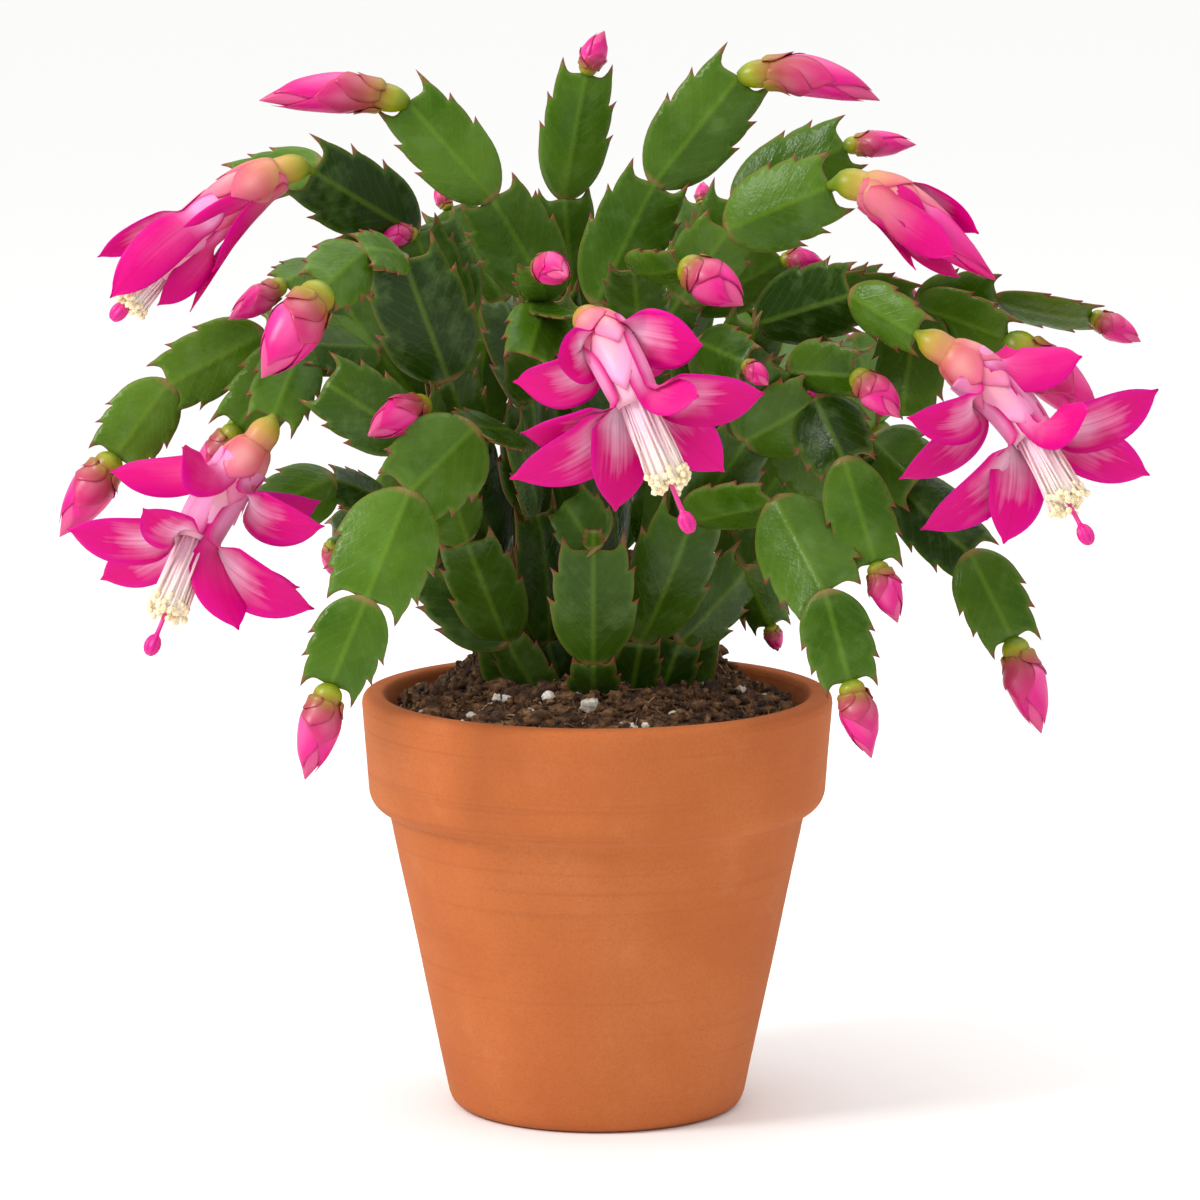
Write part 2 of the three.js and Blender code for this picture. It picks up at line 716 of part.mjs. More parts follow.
function pistil(name) {
  const { m, s, out } = bloomCurve(name);
  const length = m.distanceTo(s);
  const reference = facing(m, out, 0);
  const at = (x) => m.clone().addScaledVector(out, x);
  return loft([
    ring(at(SEAT_GAP), out, reference, 5, STYLE_RADIUS),
    ring(at(length - 6.5), out, reference, 5, STYLE_RADIUS),
    ring(at(length - 4.5), out, reference, 5, 2),
    ring(at(length - 1.5), out, reference, 5, 2.2),
    ring(at(length), out, reference, 5, 1),
  ]);
}

// Pot and soil

function innerRadius(z) {
  const slope = (INNER_RIM_RADIUS - INNER_FLOOR_RADIUS) / (POT_HEIGHT - FLOOR);
  return INNER_FLOOR_RADIUS + slope * (z - FLOOR);
}

function potGeometry() {
  const shoulder = POT_HEIGHT - COLLAR_HEIGHT;
  const profile = new THREE.Path();
  profile.moveTo(DRAIN_RADIUS, 0);
  profile.lineTo(FOOT_RADIUS - 4, 0);
  profile.quadraticCurveTo(FOOT_RADIUS, 0, FOOT_RADIUS + 0.8, 4);
  profile.lineTo(SHOULDER_RADIUS, shoulder);
  profile.quadraticCurveTo(COLLAR_FOOT_RADIUS - 0.3, shoulder + 1.6, COLLAR_FOOT_RADIUS, shoulder + 7);
  profile.lineTo(RIM_RADIUS, POT_HEIGHT - 3);
  profile.quadraticCurveTo(RIM_RADIUS, POT_HEIGHT, RIM_RADIUS - 2.5, POT_HEIGHT);
  profile.lineTo(INNER_RIM_RADIUS + 1.5, POT_HEIGHT);
  profile.lineTo(innerRadius(POT_HEIGHT - 2), POT_HEIGHT - 2);
  profile.lineTo(INNER_FLOOR_RADIUS, FLOOR);
  profile.lineTo(DRAIN_RADIUS, FLOOR);
  profile.lineTo(DRAIN_RADIUS, 0);
  const geometry = new THREE.LatheGeometry(profile.getPoints(2), POT_SIDES);
  return geometry.rotateX(Math.PI / 2);
}

function soil() {
  const up = new THREE.Vector3(0, 0, 1);
  const reference = new THREE.Vector3(0, 1, 0);
  const radii = [53, 41, 27, 12];
  const bottom = FLOOR + SOIL_GAP;
  const edge = innerRadius(SOIL_EDGE_HEIGHT - 1.5) - SOIL_GAP - 0.6;
  const rings = [
    ring(new THREE.Vector3(0, 0, bottom), up, reference, SOIL_SIDES, innerRadius(bottom) - SOIL_GAP - 0.3),
    ring(new THREE.Vector3(0, 0, 0), up, reference, SOIL_SIDES, edge),
    ...radii.map((r) => ring(new THREE.Vector3(), up, reference, SOIL_SIDES, r)),
    [new THREE.Vector3()],
  ];
  rings.slice(1).forEach((points, k) => points.forEach((p, i) => {
    p.z = k ? soilHeight(p.x, p.y) + 0.5 * wobble(i, 20 + k) : SOIL_EDGE_HEIGHT - 1.5;
  }));
  return largest(loft(rings).subtract(wasm.Manifold.union(holes)));
}

// The model

function fromSolid(body) {
  const geometry = geometryOf(body);
  geometry.computeVertexNormals();
  return geometry;
}

function finish(colour, roughness) {
  return new THREE.MeshStandardMaterial({ color: colour, roughness, metalness: 0 });
}

const clay = finish(0xc8764a, 0.85);
const earth = finish(0x3c2a1c, 1);
const leaf = finish(0x4c732d, 0.45);
const budPink = finish(0xe23a8e, 0.5);
const petalPink = finish(0xe10f82, 0.5);
const cream = finish(0xf5e6be, 0.6);
const stigmaPink = finish(0xeb1eaa, 0.5);

const plant = new THREE.Group();

function add(name, geometry, material) {
  const mesh = new THREE.Mesh(geometry, material);
  mesh.name = name;
  plant.add(mesh);
}

add('pot', potGeometry(), clay);
add('soil', fromSolid(soil()), earth);
Object.entries(stemSolids).forEach(([name, pieces]) => add(name, fromSolid(join(pieces)), leaf));
Object.entries(BUDS).forEach(([name, row]) => add(name, fromSolid(bud(row, BUD_SIDES, SEAT_GAP)), budPink));
Object.keys(BLOOMS).forEach((name) => {
  add(`${name}_petals`, fromSolid(perianth(name)), petalPink);
  if (!BLOOMS[name].closed) {
    add(`${name}_stamens`, fromSolid(stamens(name)), cream);
    add(`${name}_pistil`, fromSolid(pistil(name)), stigmaPink);
  }
});

export default plant;
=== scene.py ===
import math
import random

import bpy
import numpy as np
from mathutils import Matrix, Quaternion, Vector, noise
from mathutils.geometry import delaunay_2d_cdt


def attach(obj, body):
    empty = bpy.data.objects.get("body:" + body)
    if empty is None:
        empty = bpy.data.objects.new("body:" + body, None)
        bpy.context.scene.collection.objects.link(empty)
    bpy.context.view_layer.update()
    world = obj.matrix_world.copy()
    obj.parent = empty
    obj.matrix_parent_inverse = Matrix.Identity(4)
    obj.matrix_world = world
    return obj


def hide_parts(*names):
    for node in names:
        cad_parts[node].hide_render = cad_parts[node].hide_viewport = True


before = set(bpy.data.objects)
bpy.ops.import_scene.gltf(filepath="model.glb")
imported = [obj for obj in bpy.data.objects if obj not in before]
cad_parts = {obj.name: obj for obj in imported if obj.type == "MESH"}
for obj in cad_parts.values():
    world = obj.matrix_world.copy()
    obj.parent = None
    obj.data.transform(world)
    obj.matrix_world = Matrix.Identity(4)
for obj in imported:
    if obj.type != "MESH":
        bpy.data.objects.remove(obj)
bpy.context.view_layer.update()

# The pot
# A standard 13 cm pot, turned from red clay and fired unglazed. It has a thick rolled collar,
# a rounded foot and a drain hole. One profile is swept round the upright axis.

MM = 0.001
RIM_RADIUS = 65
POT_HEIGHT = 116
COLLAR_HEIGHT = 33
COLLAR_FOOT_RADIUS = 63.3
SHOULDER_RADIUS = 57.6
FOOT_RADIUS = 40.5
FLOOR = 7
INNER_RIM_RADIUS = 58.5
INNER_FLOOR_RADIUS = 33
DRAIN_RADIUS = 6
POT_SIDES = 144


def rgb(red, green, blue):
    def linear(value):
        value /= 255
        return value / 12.92 if value <= 0.04045 else ((value + 0.055) / 1.055) ** 2.4
    return (linear(red), linear(green), linear(blue), 1)


def plug(tree, target, sockets):
    """Links or sets each input of a node that is named."""
    for key, value in sockets.items():
        if isinstance(value, bpy.types.NodeSocket):
            tree.links.new(value, target.inputs[key])
        else:
            target.inputs[key].default_value = value


def node(tree, kind, sockets, **settings):
    made = tree.nodes.new("ShaderNode" + kind)
    for key, value in settings.items():
        setattr(made, key, value)
    plug(tree, made, sockets)
    return made


def new_material(name):
    material = bpy.data.materials.new(name)
    material.use_nodes = True
    tree = material.node_tree
    return material, tree, tree.nodes["Principled BSDF"]


def mix(tree, factor, first, second):
    return node(tree, "Mix", {0: factor, 6: first, 7: second}, data_type="RGBA").outputs[2]


def ramp(tree, factor, stops):
    made = node(tree, "ValToRGB", {"Fac": factor})
    elements = made.color_ramp.elements
    while len(elements) < len(stops):
        elements.new(0.5)
    for element, (at, colour) in zip(elements, stops):
        element.position = at
        element.color = colour
    return made.outputs["Color"]


def grain(tree, scale, detail=2, roughness=0.5, vector=None):
    place = vector or node(tree, "TexCoord", {}).outputs["Object"]
    return node(tree, "TexNoise", {
        "Vector": place, "Scale": scale, "Detail": detail, "Roughness": roughness,
    }).outputs["Fac"]


def maths(tree, operation, *values):
    return node(tree, "Math", dict(enumerate(values)), operation=operation).outputs[0]


def tint(tree, base, mask, share, colour):
    """The base with that share of a colour over it where the mask is 1."""
    return mix(tree, maths(tree, "MULTIPLY", mask, share), base, colour)


def span(tree, value, low, high, to_low=0, to_high=1):
    return node(tree, "MapRange", {
        "Value": value, "From Min": low, "From Max": high, "To Min": to_low, "To Max": to_high,
    }).outputs["Result"]


def bump(tree, height, distance, strength=1, under=None):
    sockets = {"Height": height, "Distance": distance, "Strength": strength}
    if under:
        sockets["Normal"] = under
    return node(tree, "Bump", sockets).outputs["Normal"]


def given(tree, name):
    return node(tree, "Attribute", {}, attribute_name=name).outputs["Fac"]


def make_piece(name, mass, material, stands_for=None):
    """A piece of the scene from its mass: its points in mm, its faces, and its points' values."""
    points, faces, values = mass
    mesh = bpy.data.meshes.new(name)
    mesh.from_pydata([Vector(p) * MM for p in points], [], faces)
    for key, numbers in values.items():
        layer = mesh.attributes.new(key, "FLOAT", "POINT")
        layer.data.foreach_set("value", numbers)
    mesh.shade_smooth()
    mesh.materials.append(material)
    piece = bpy.data.objects.new(name, mesh)
    bpy.context.scene.collection.objects.link(piece)
    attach(piece, "root")
    if stands_for:
        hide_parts(stands_for)


def inner_radius(z):
    slope = (INNER_RIM_RADIUS - INNER_FLOOR_RADIUS) / (POT_HEIGHT - FLOOR)
    return INNER_FLOOR_RADIUS + slope * (z - FLOOR)


def curve_through(start, control, end, steps):
    points = []
    for i in range(1, steps + 1):
        t = i / steps
        points.append([(1 - t) ** 2 * a + 2 * t * (1 - t) * b + t * t * c
                       for a, b, c in zip(start, control, end)])
    return points


def straight(start, end, steps):
    return [[a + (b - a) * i / steps for a, b in zip(start, end)] for i in range(1, steps + 1)]


shoulder = POT_HEIGHT - COLLAR_HEIGHT
foot_turn = (FOOT_RADIUS + 0.8, 4)
collar_turn = (COLLAR_FOOT_RADIUS, shoulder + 7)
lip_turn = (RIM_RADIUS - 2.5, POT_HEIGHT)
inner_lip = (inner_radius(POT_HEIGHT - 2), POT_HEIGHT - 2)
pot_profile = [(DRAIN_RADIUS, 0)]
pot_profile += straight((DRAIN_RADIUS, 0), (FOOT_RADIUS - 4, 0), 3)
pot_profile += curve_through((FOOT_RADIUS - 4, 0), (FOOT_RADIUS, 0), foot_turn, 6)
pot_profile += straight(foot_turn, (SHOULDER_RADIUS, shoulder), 40)
pot_profile += curve_through((SHOULDER_RADIUS, shoulder), (COLLAR_FOOT_RADIUS - 0.3, shoulder + 1.6),
                             collar_turn, 10)
pot_profile += straight(collar_turn, (RIM_RADIUS, POT_HEIGHT - 3), 16)
pot_profile += curve_through((RIM_RADIUS, POT_HEIGHT - 3), (RIM_RADIUS, POT_HEIGHT), lip_turn, 6)
pot_profile += straight(lip_turn, (INNER_RIM_RADIUS + 1.5, POT_HEIGHT), 3)
pot_profile += curve_through((INNER_RIM_RADIUS + 1.5, POT_HEIGHT), (INNER_RIM_RADIUS + 0.3, POT_HEIGHT),
                             inner_lip, 4)
pot_profile += straight(inner_lip, (INNER_FLOOR_RADIUS, FLOOR), 12)
pot_profile += straight((INNER_FLOOR_RADIUS, FLOOR), (DRAIN_RADIUS, FLOOR), 3)

# The wall is a hair out of round, and the turning left fine ridges in it. The foot, the lip and
# the middle of the floor stay even.
OUT_OF_ROUND = 0.22
RIDGE_DEPTH = 0.07
EVEN_WITHIN = 35

pot_points = []
pot_faces = []
for row, (radius, z) in enumerate(pot_profile):
    for i in range(POT_SIDES):
        angle = 2 * math.pi * i / POT_SIDES
        around = Vector((math.cos(angle), math.sin(angle), 0))
        uneven = OUT_OF_ROUND * noise.noise(around * 1.3 + Vector((0, 0, z / 30)))
        uneven += RIDGE_DEPTH * noise.noise(Vector((0, 5, z / 1.7)))
        keep = radius + (uneven if 1 < z < POT_HEIGHT - 0.5 and radius > EVEN_WITHIN else 0)
        pot_points.append(around * keep + Vector((0, 0, z)))
        j = (i + 1) % POT_SIDES
        below = row * POT_SIDES
        above = (row + 1) % len(pot_profile) * POT_SIDES
        pot_faces.append((below + i, below + j, above + j, above + i))

clay, tree, shader = new_material("fired_clay")
clay_colour = ramp(tree, grain(tree, 26, 3), [
    (0.3, rgb(180, 96, 46)), (0.52, rgb(187, 104, 52)), (0.75, rgb(194, 112, 62)),
])
specks = span(tree, grain(tree, 1500, 2), 0.42, 0.7)
clay_colour = tint(tree, clay_colour, specks, 0.35, rgb(160, 84, 50))
pale_marks = span(tree, grain(tree, 60, 4, 0.65), 0.56, 0.75)
clay_colour = tint(tree, clay_colour, pale_marks, 0.1, rgb(226, 160, 118))
upright = node(tree, "Mapping", {
    "Vector": node(tree, "TexCoord", {}).outputs["Object"], "Scale": (6, 6, 420),
}).outputs["Vector"]
lines = grain(tree, 1, 3, 0.6, upright)
clay_colour = tint(tree, clay_colour, span(tree, lines, 0.58, 0.7), 0.22, rgb(150, 78, 40))
rings = bump(tree, lines, 0.0006, 0.35)
plug(tree, shader, {
    "Base Color": clay_colour, "Roughness": 0.86, "Specular IOR Level": 0.3,
    "Normal": bump(tree, grain(tree, 1100, 3), 0.0003, 0.5, rings),
})
make_piece("clay_pot", (pot_points, pot_faces, {}), clay, "pot")

# The soil
# Dark fibrous potting mix, heaped a little at the middle and by the back wall, with crumbs,
# bits of coir and white perlite on its surface. It fills the pot down to the floor.

SOIL_EDGE_HEIGHT = 110
SOIL_SIDE_TOP = SOIL_EDGE_HEIGHT - 1.5
SOIL_HALFWAY = 60
SOIL_MOUND = 8.5
SOIL_GAP = 0.3
SOIL_SIDES = 180
SOIL_RINGS = 46
# Two more heaps by the back wall: (x, y)
HEAPS = [(-33, 38), (31, 40)]
HEAP_HEIGHT = 8.5
HEAP_SPREAD = 90
# Where the camera stands
EYE = Vector((0.8, -1593, 388))


def seen(across, up, near):
    """[across, up] on an upright sheet on the pot's axis, then near along its sight line."""
    return Vector((across, 0, up)).lerp(EYE, near / -EYE.y)


def wobble(i, k):
    """The same small offset, from -1 to 1, for the same two numbers."""
    s = math.sin(i * 12.9898 + k * 78.233) * 43758.5453
    return 2 * (s - math.floor(s)) - 1


def soil_height(x, y):
    r = math.hypot(x, y) / INNER_RIM_RADIUS
    lumps = 0.7 * math.sin(0.31 * x + 1.3) * math.sin(0.27 * y) + 0.5 * math.sin(0.53 * x - 0.41 * y)
    heaps = sum(HEAP_HEIGHT * math.exp(-((x - hx) ** 2 + (y - hy) ** 2) / HEAP_SPREAD) for hx, hy in HEAPS)
    return SOIL_EDGE_HEIGHT + SOIL_MOUND * (1 - r * r) + lumps + heaps


def crumbly(x, y):
    spot = Vector((x, y, 0))
    coarse = 1.9 * noise.fractal(spot / 6, 0.9, 2.1, 3)
    crumbs = 0.325 * (0.5 - noise.cell_vector(spot / 3.1).x)
    fine = 0.55 * noise.noise(spot / 1.3)
    return soil_height(x, y) + coarse + crumbs + fine


def grid_faces(faces, base, rows, columns, closed, flip=False):
    """Quads between rows of points. A closed row's last point joins its first."""
    for row in range(rows - 1):
        for i in range(columns if closed else columns - 1):
            j = (i + 1) % columns
            a = base + row * columns
            quad = (a + i, a + j, a + columns + j, a + columns + i)
            faces.append(tuple(reversed(quad)) if flip else quad)


def end_caps(faces, base, rows, sides, flip=False):
    """Closes the open ends of a stack of closed rows."""
    first = [base + i for i in range(sides)]
    last = [base + (rows - 1) * sides + i for i in range(sides)]
    faces.append(tuple(first if flip else reversed(first)))
    faces.append(tuple(reversed(last) if flip else last))


soil_edge = inner_radius(SOIL_SIDE_TOP) - SOIL_GAP
underside = FLOOR + SOIL_GAP
soil_rows = [
    (DRAIN_RADIUS + 2, underside), (inner_radius(FLOOR) - SOIL_GAP, underside),
    (inner_radius(SOIL_HALFWAY) - SOIL_GAP, SOIL_HALFWAY), (soil_edge, SOIL_SIDE_TOP),
]
soil_rows += [(soil_edge * (1 - i / SOIL_RINGS) ** 0.93 + 0.4, None) for i in range(SOIL_RINGS + 1)]
soil_points = []
soil_faces = []
for row, (radius, z) in enumerate(soil_rows):
    for i in range(SOIL_SIDES):
        angle = 2 * math.pi * (i + 0.5 * (row % 2)) / SOIL_SIDES
        keep = min(radius, soil_edge)
        x = keep * math.cos(angle)
        y = keep * math.sin(angle)
        soil_points.append((x, y, crumbly(x, y) if z is None else z))
grid_faces(soil_faces, 0, len(soil_rows), SOIL_SIDES, True)
end_caps(soil_faces, 0, len(soil_rows), SOIL_SIDES)

earth, tree, shader = new_material("potting_mix")
earth_colour = ramp(tree, grain(tree, 240, 4, 0.7), [
    (0.3, rgb(24, 15, 9)), (0.45, rgb(70, 46, 28)), (0.58, rgb(124, 88, 54)), (0.76, rgb(192, 150, 104)),
])
plug(tree, shader, {
    "Base Color": earth_colour, "Roughness": 0.95,
    "Normal": bump(tree, grain(tree, 900, 4, 0.7), 0.0012, 0.9),
})
make_piece("potting_mix", (soil_points, soil_faces, {}), earth, "soil")

# Short bent fibres of coir lie loose on the mix.
FIBRES = 620
FIBRE_SIDES = 5


def new_mass(*keys):
    """Points, faces and named values of a piece, still empty."""
    return ([], [], {key: [] for key in keys})


def tube(path, radii, sides, mass):
    """Adds a closed tube along a path of points, with one radius for each of them."""
    points, faces, _ = mass
    start = len(points)
    side = None
    for k, (spot, radius) in enumerate(zip(path, radii)):
        ahead = (path[min(k + 1, len(path) - 1)] - path[max(k - 1, 0)]).normalized()
        if side is None:
            side = ahead.orthogonal().normalized()
        side = (side - ahead * side.dot(ahead)).normalized()
        up = ahead.cross(side)
        for i in range(sides):
            angle = 2 * math.pi * i / sides
            points.append(spot + (side * math.cos(angle) + up * math.sin(angle)) * radius)
    grid_faces(faces, start, len(path), sides, True)
    end_caps(faces, start, len(path), sides)


draw = random.Random(7)
fibres = new_mass("tone")
for _ in range(FIBRES):
    angle = draw.uniform(0, 2 * math.pi)
    reach = soil_edge * math.sqrt(draw.uniform(0, 0.92))
    at = Vector((reach * math.cos(angle), reach * math.sin(angle), 0))
    heading = draw.uniform(0, 2 * math.pi)
    length = draw.uniform(3, 10)
    path = []
    for _ in range(6):
        heading += draw.uniform(-0.45, 0.45)
        at = at + Vector((math.cos(heading), math.sin(heading), 0)) * length / 5
        if at.length > soil_edge - 1:
            at *= (soil_edge - 1) / at.length
        lift = draw.uniform(-0.1, 0.7)
        path.append(Vector((at.x, at.y, crumbly(at.x, at.y) + lift)))
    thick = draw.uniform(0.12, 0.38)
    tube(path, [thick, thick, thick, thick, thick * 0.8, thick * 0.4], FIBRE_SIDES, fibres)
    fibres[2]["tone"] += [draw.random()] * (len(path) * FIBRE_SIDES)
coir, tree, shader = new_material("coir_fibre")
coir_colour = ramp(tree, given(tree, "tone"), [
    (0, rgb(56, 38, 22)), (0.5, rgb(116, 82, 50)), (1, rgb(190, 150, 104)),
])
coir_colour = mix(tree, span(tree, grain(tree, 1300), 0.4, 0.7), coir_colour, rgb(50, 34, 22))
plug(tree, shader, {"Base Color": coir_colour, "Roughness": 0.9})
make_piece("coir_fibres", fibres, coir)

# Crumbs of bark and peat lie loose on the mix, each a rough lump pressed into the surface.
CRUMBS = 1500


def strewn(margin):
    """A random place on the soil that keeps a margin to the pot's wall."""
    angle = draw.uniform(0, 2 * math.pi)
    reach = (soil_edge - margin) * math.sqrt(draw.random())
    return reach * math.cos(angle), reach * math.sin(angle)


def rough_lump(centre, radius, squash, mass, rows, sides):
    points, faces, _ = mass
    start = len(points)
    for k in range(rows + 1):
        tilt = math.pi * (k + 0.001) / (rows + 0.002)
        for i in range(sides):
            angle = 2 * math.pi * i / sides
            out = Vector((math.sin(tilt) * math.cos(angle), math.sin(tilt) * math.sin(angle), math.cos(tilt)))
            rough = 1 + 0.5 * noise.noise(out * 1.6 + centre) + 0.3 * noise.noise(out * 4 + centre)
            points.append(centre + Vector([a * b for a, b in zip(out, squash)]) * radius * rough)
    grid_faces(faces, start, rows + 1, sides, True, True)
    end_caps(faces, start, rows + 1, sides, True)


crumbs = new_mass()
for _ in range(CRUMBS):
    x, y = strewn(1.5)
    size = 0.5 + 1.9 * draw.random() ** 2
    squash = (draw.uniform(0.4, 1.6), draw.uniform(0.4, 1.6), draw.uniform(0.5, 1.2))
    rough_lump(Vector((x, y, crumbly(x, y) + 0.4 * size)), size, squash, crumbs, 5, 7)
make_piece("bark_crumbs", crumbs, earth)

# Perlite
# Expanded volcanic glass in small off-white lumps, as is usual in a cactus soil. Each is a rough
# ball that rests on the mix, a little sunk in.

# Each lump in sight from the front: [across, up, radius], on the upright sheet that seen() uses
PERLITE_IN_FRONT = [
    [-2, 111.1, 2.5], [-27.7, 111.1, 1.3], [-18.6, 108.6, 1.2], [0, 107.8, 1.1],
    [13.3, 108.3, 1.1], [21, 107.8, 1.2],
]
LOOSE_PERLITE = 46

lumps = []
for across, up, radius in PERLITE_IN_FRONT:
    # The lump slides along its sight line until it meets the soil.
    near = 40
    for _ in range(8):
        spot = seen(across, up, near)
        near += (soil_height(spot.x, spot.y) - spot.z) * -EYE.y / (EYE.z - up)
    lumps.append((seen(across, up, near), radius))
for _ in range(LOOSE_PERLITE):
    spot = Vector((*strewn(2.5), 0))
    lumps.append((spot, 0.4 + 1.4 * draw.random() ** 3))
perlite_lumps = new_mass()
for spot, radius in lumps:
    centre = Vector((spot.x, spot.y, crumbly(spot.x, spot.y) + 0.75 * radius))
    rough_lump(centre, radius, (1, 1, 0.85), perlite_lumps, 8, 12)
perlite, tree, shader = new_material("perlite")
perlite_colour = ramp(tree, grain(tree, 500, 3), [(0.35, rgb(196, 186, 168)), (0.6, rgb(238, 233, 222))])
plug(tree, shader, {
    "Base Color": perlite_colour, "Roughness": 0.9,
    "Normal": bump(tree, grain(tree, 1800, 2), 0.0004, 0.8),
})
make_piece("perlite", perlite_lumps, perlite)

# The leafy stems
# Rooted cuttings, each a chain of flat fleshy segments that forks and arches over. A segment
# has a narrow foot, forward teeth along its edges, two horns at its cut-off end, a raised
# midrib and a thin red-brown rim. One piece is one cutting, grown segment by segment.

ROOT_DEPTH = 12
ROOT_RISE = 1.8
JOINT_LAP = 1.3
# Half the thickness of a segment at its midrib and at its rim
RIB = 1.25
EDGE = 0.22
# A segment's sheet is filled with points this far apart, in rows that are closer by this share.
GRID = 1.35
GRID_ROW = 0.87

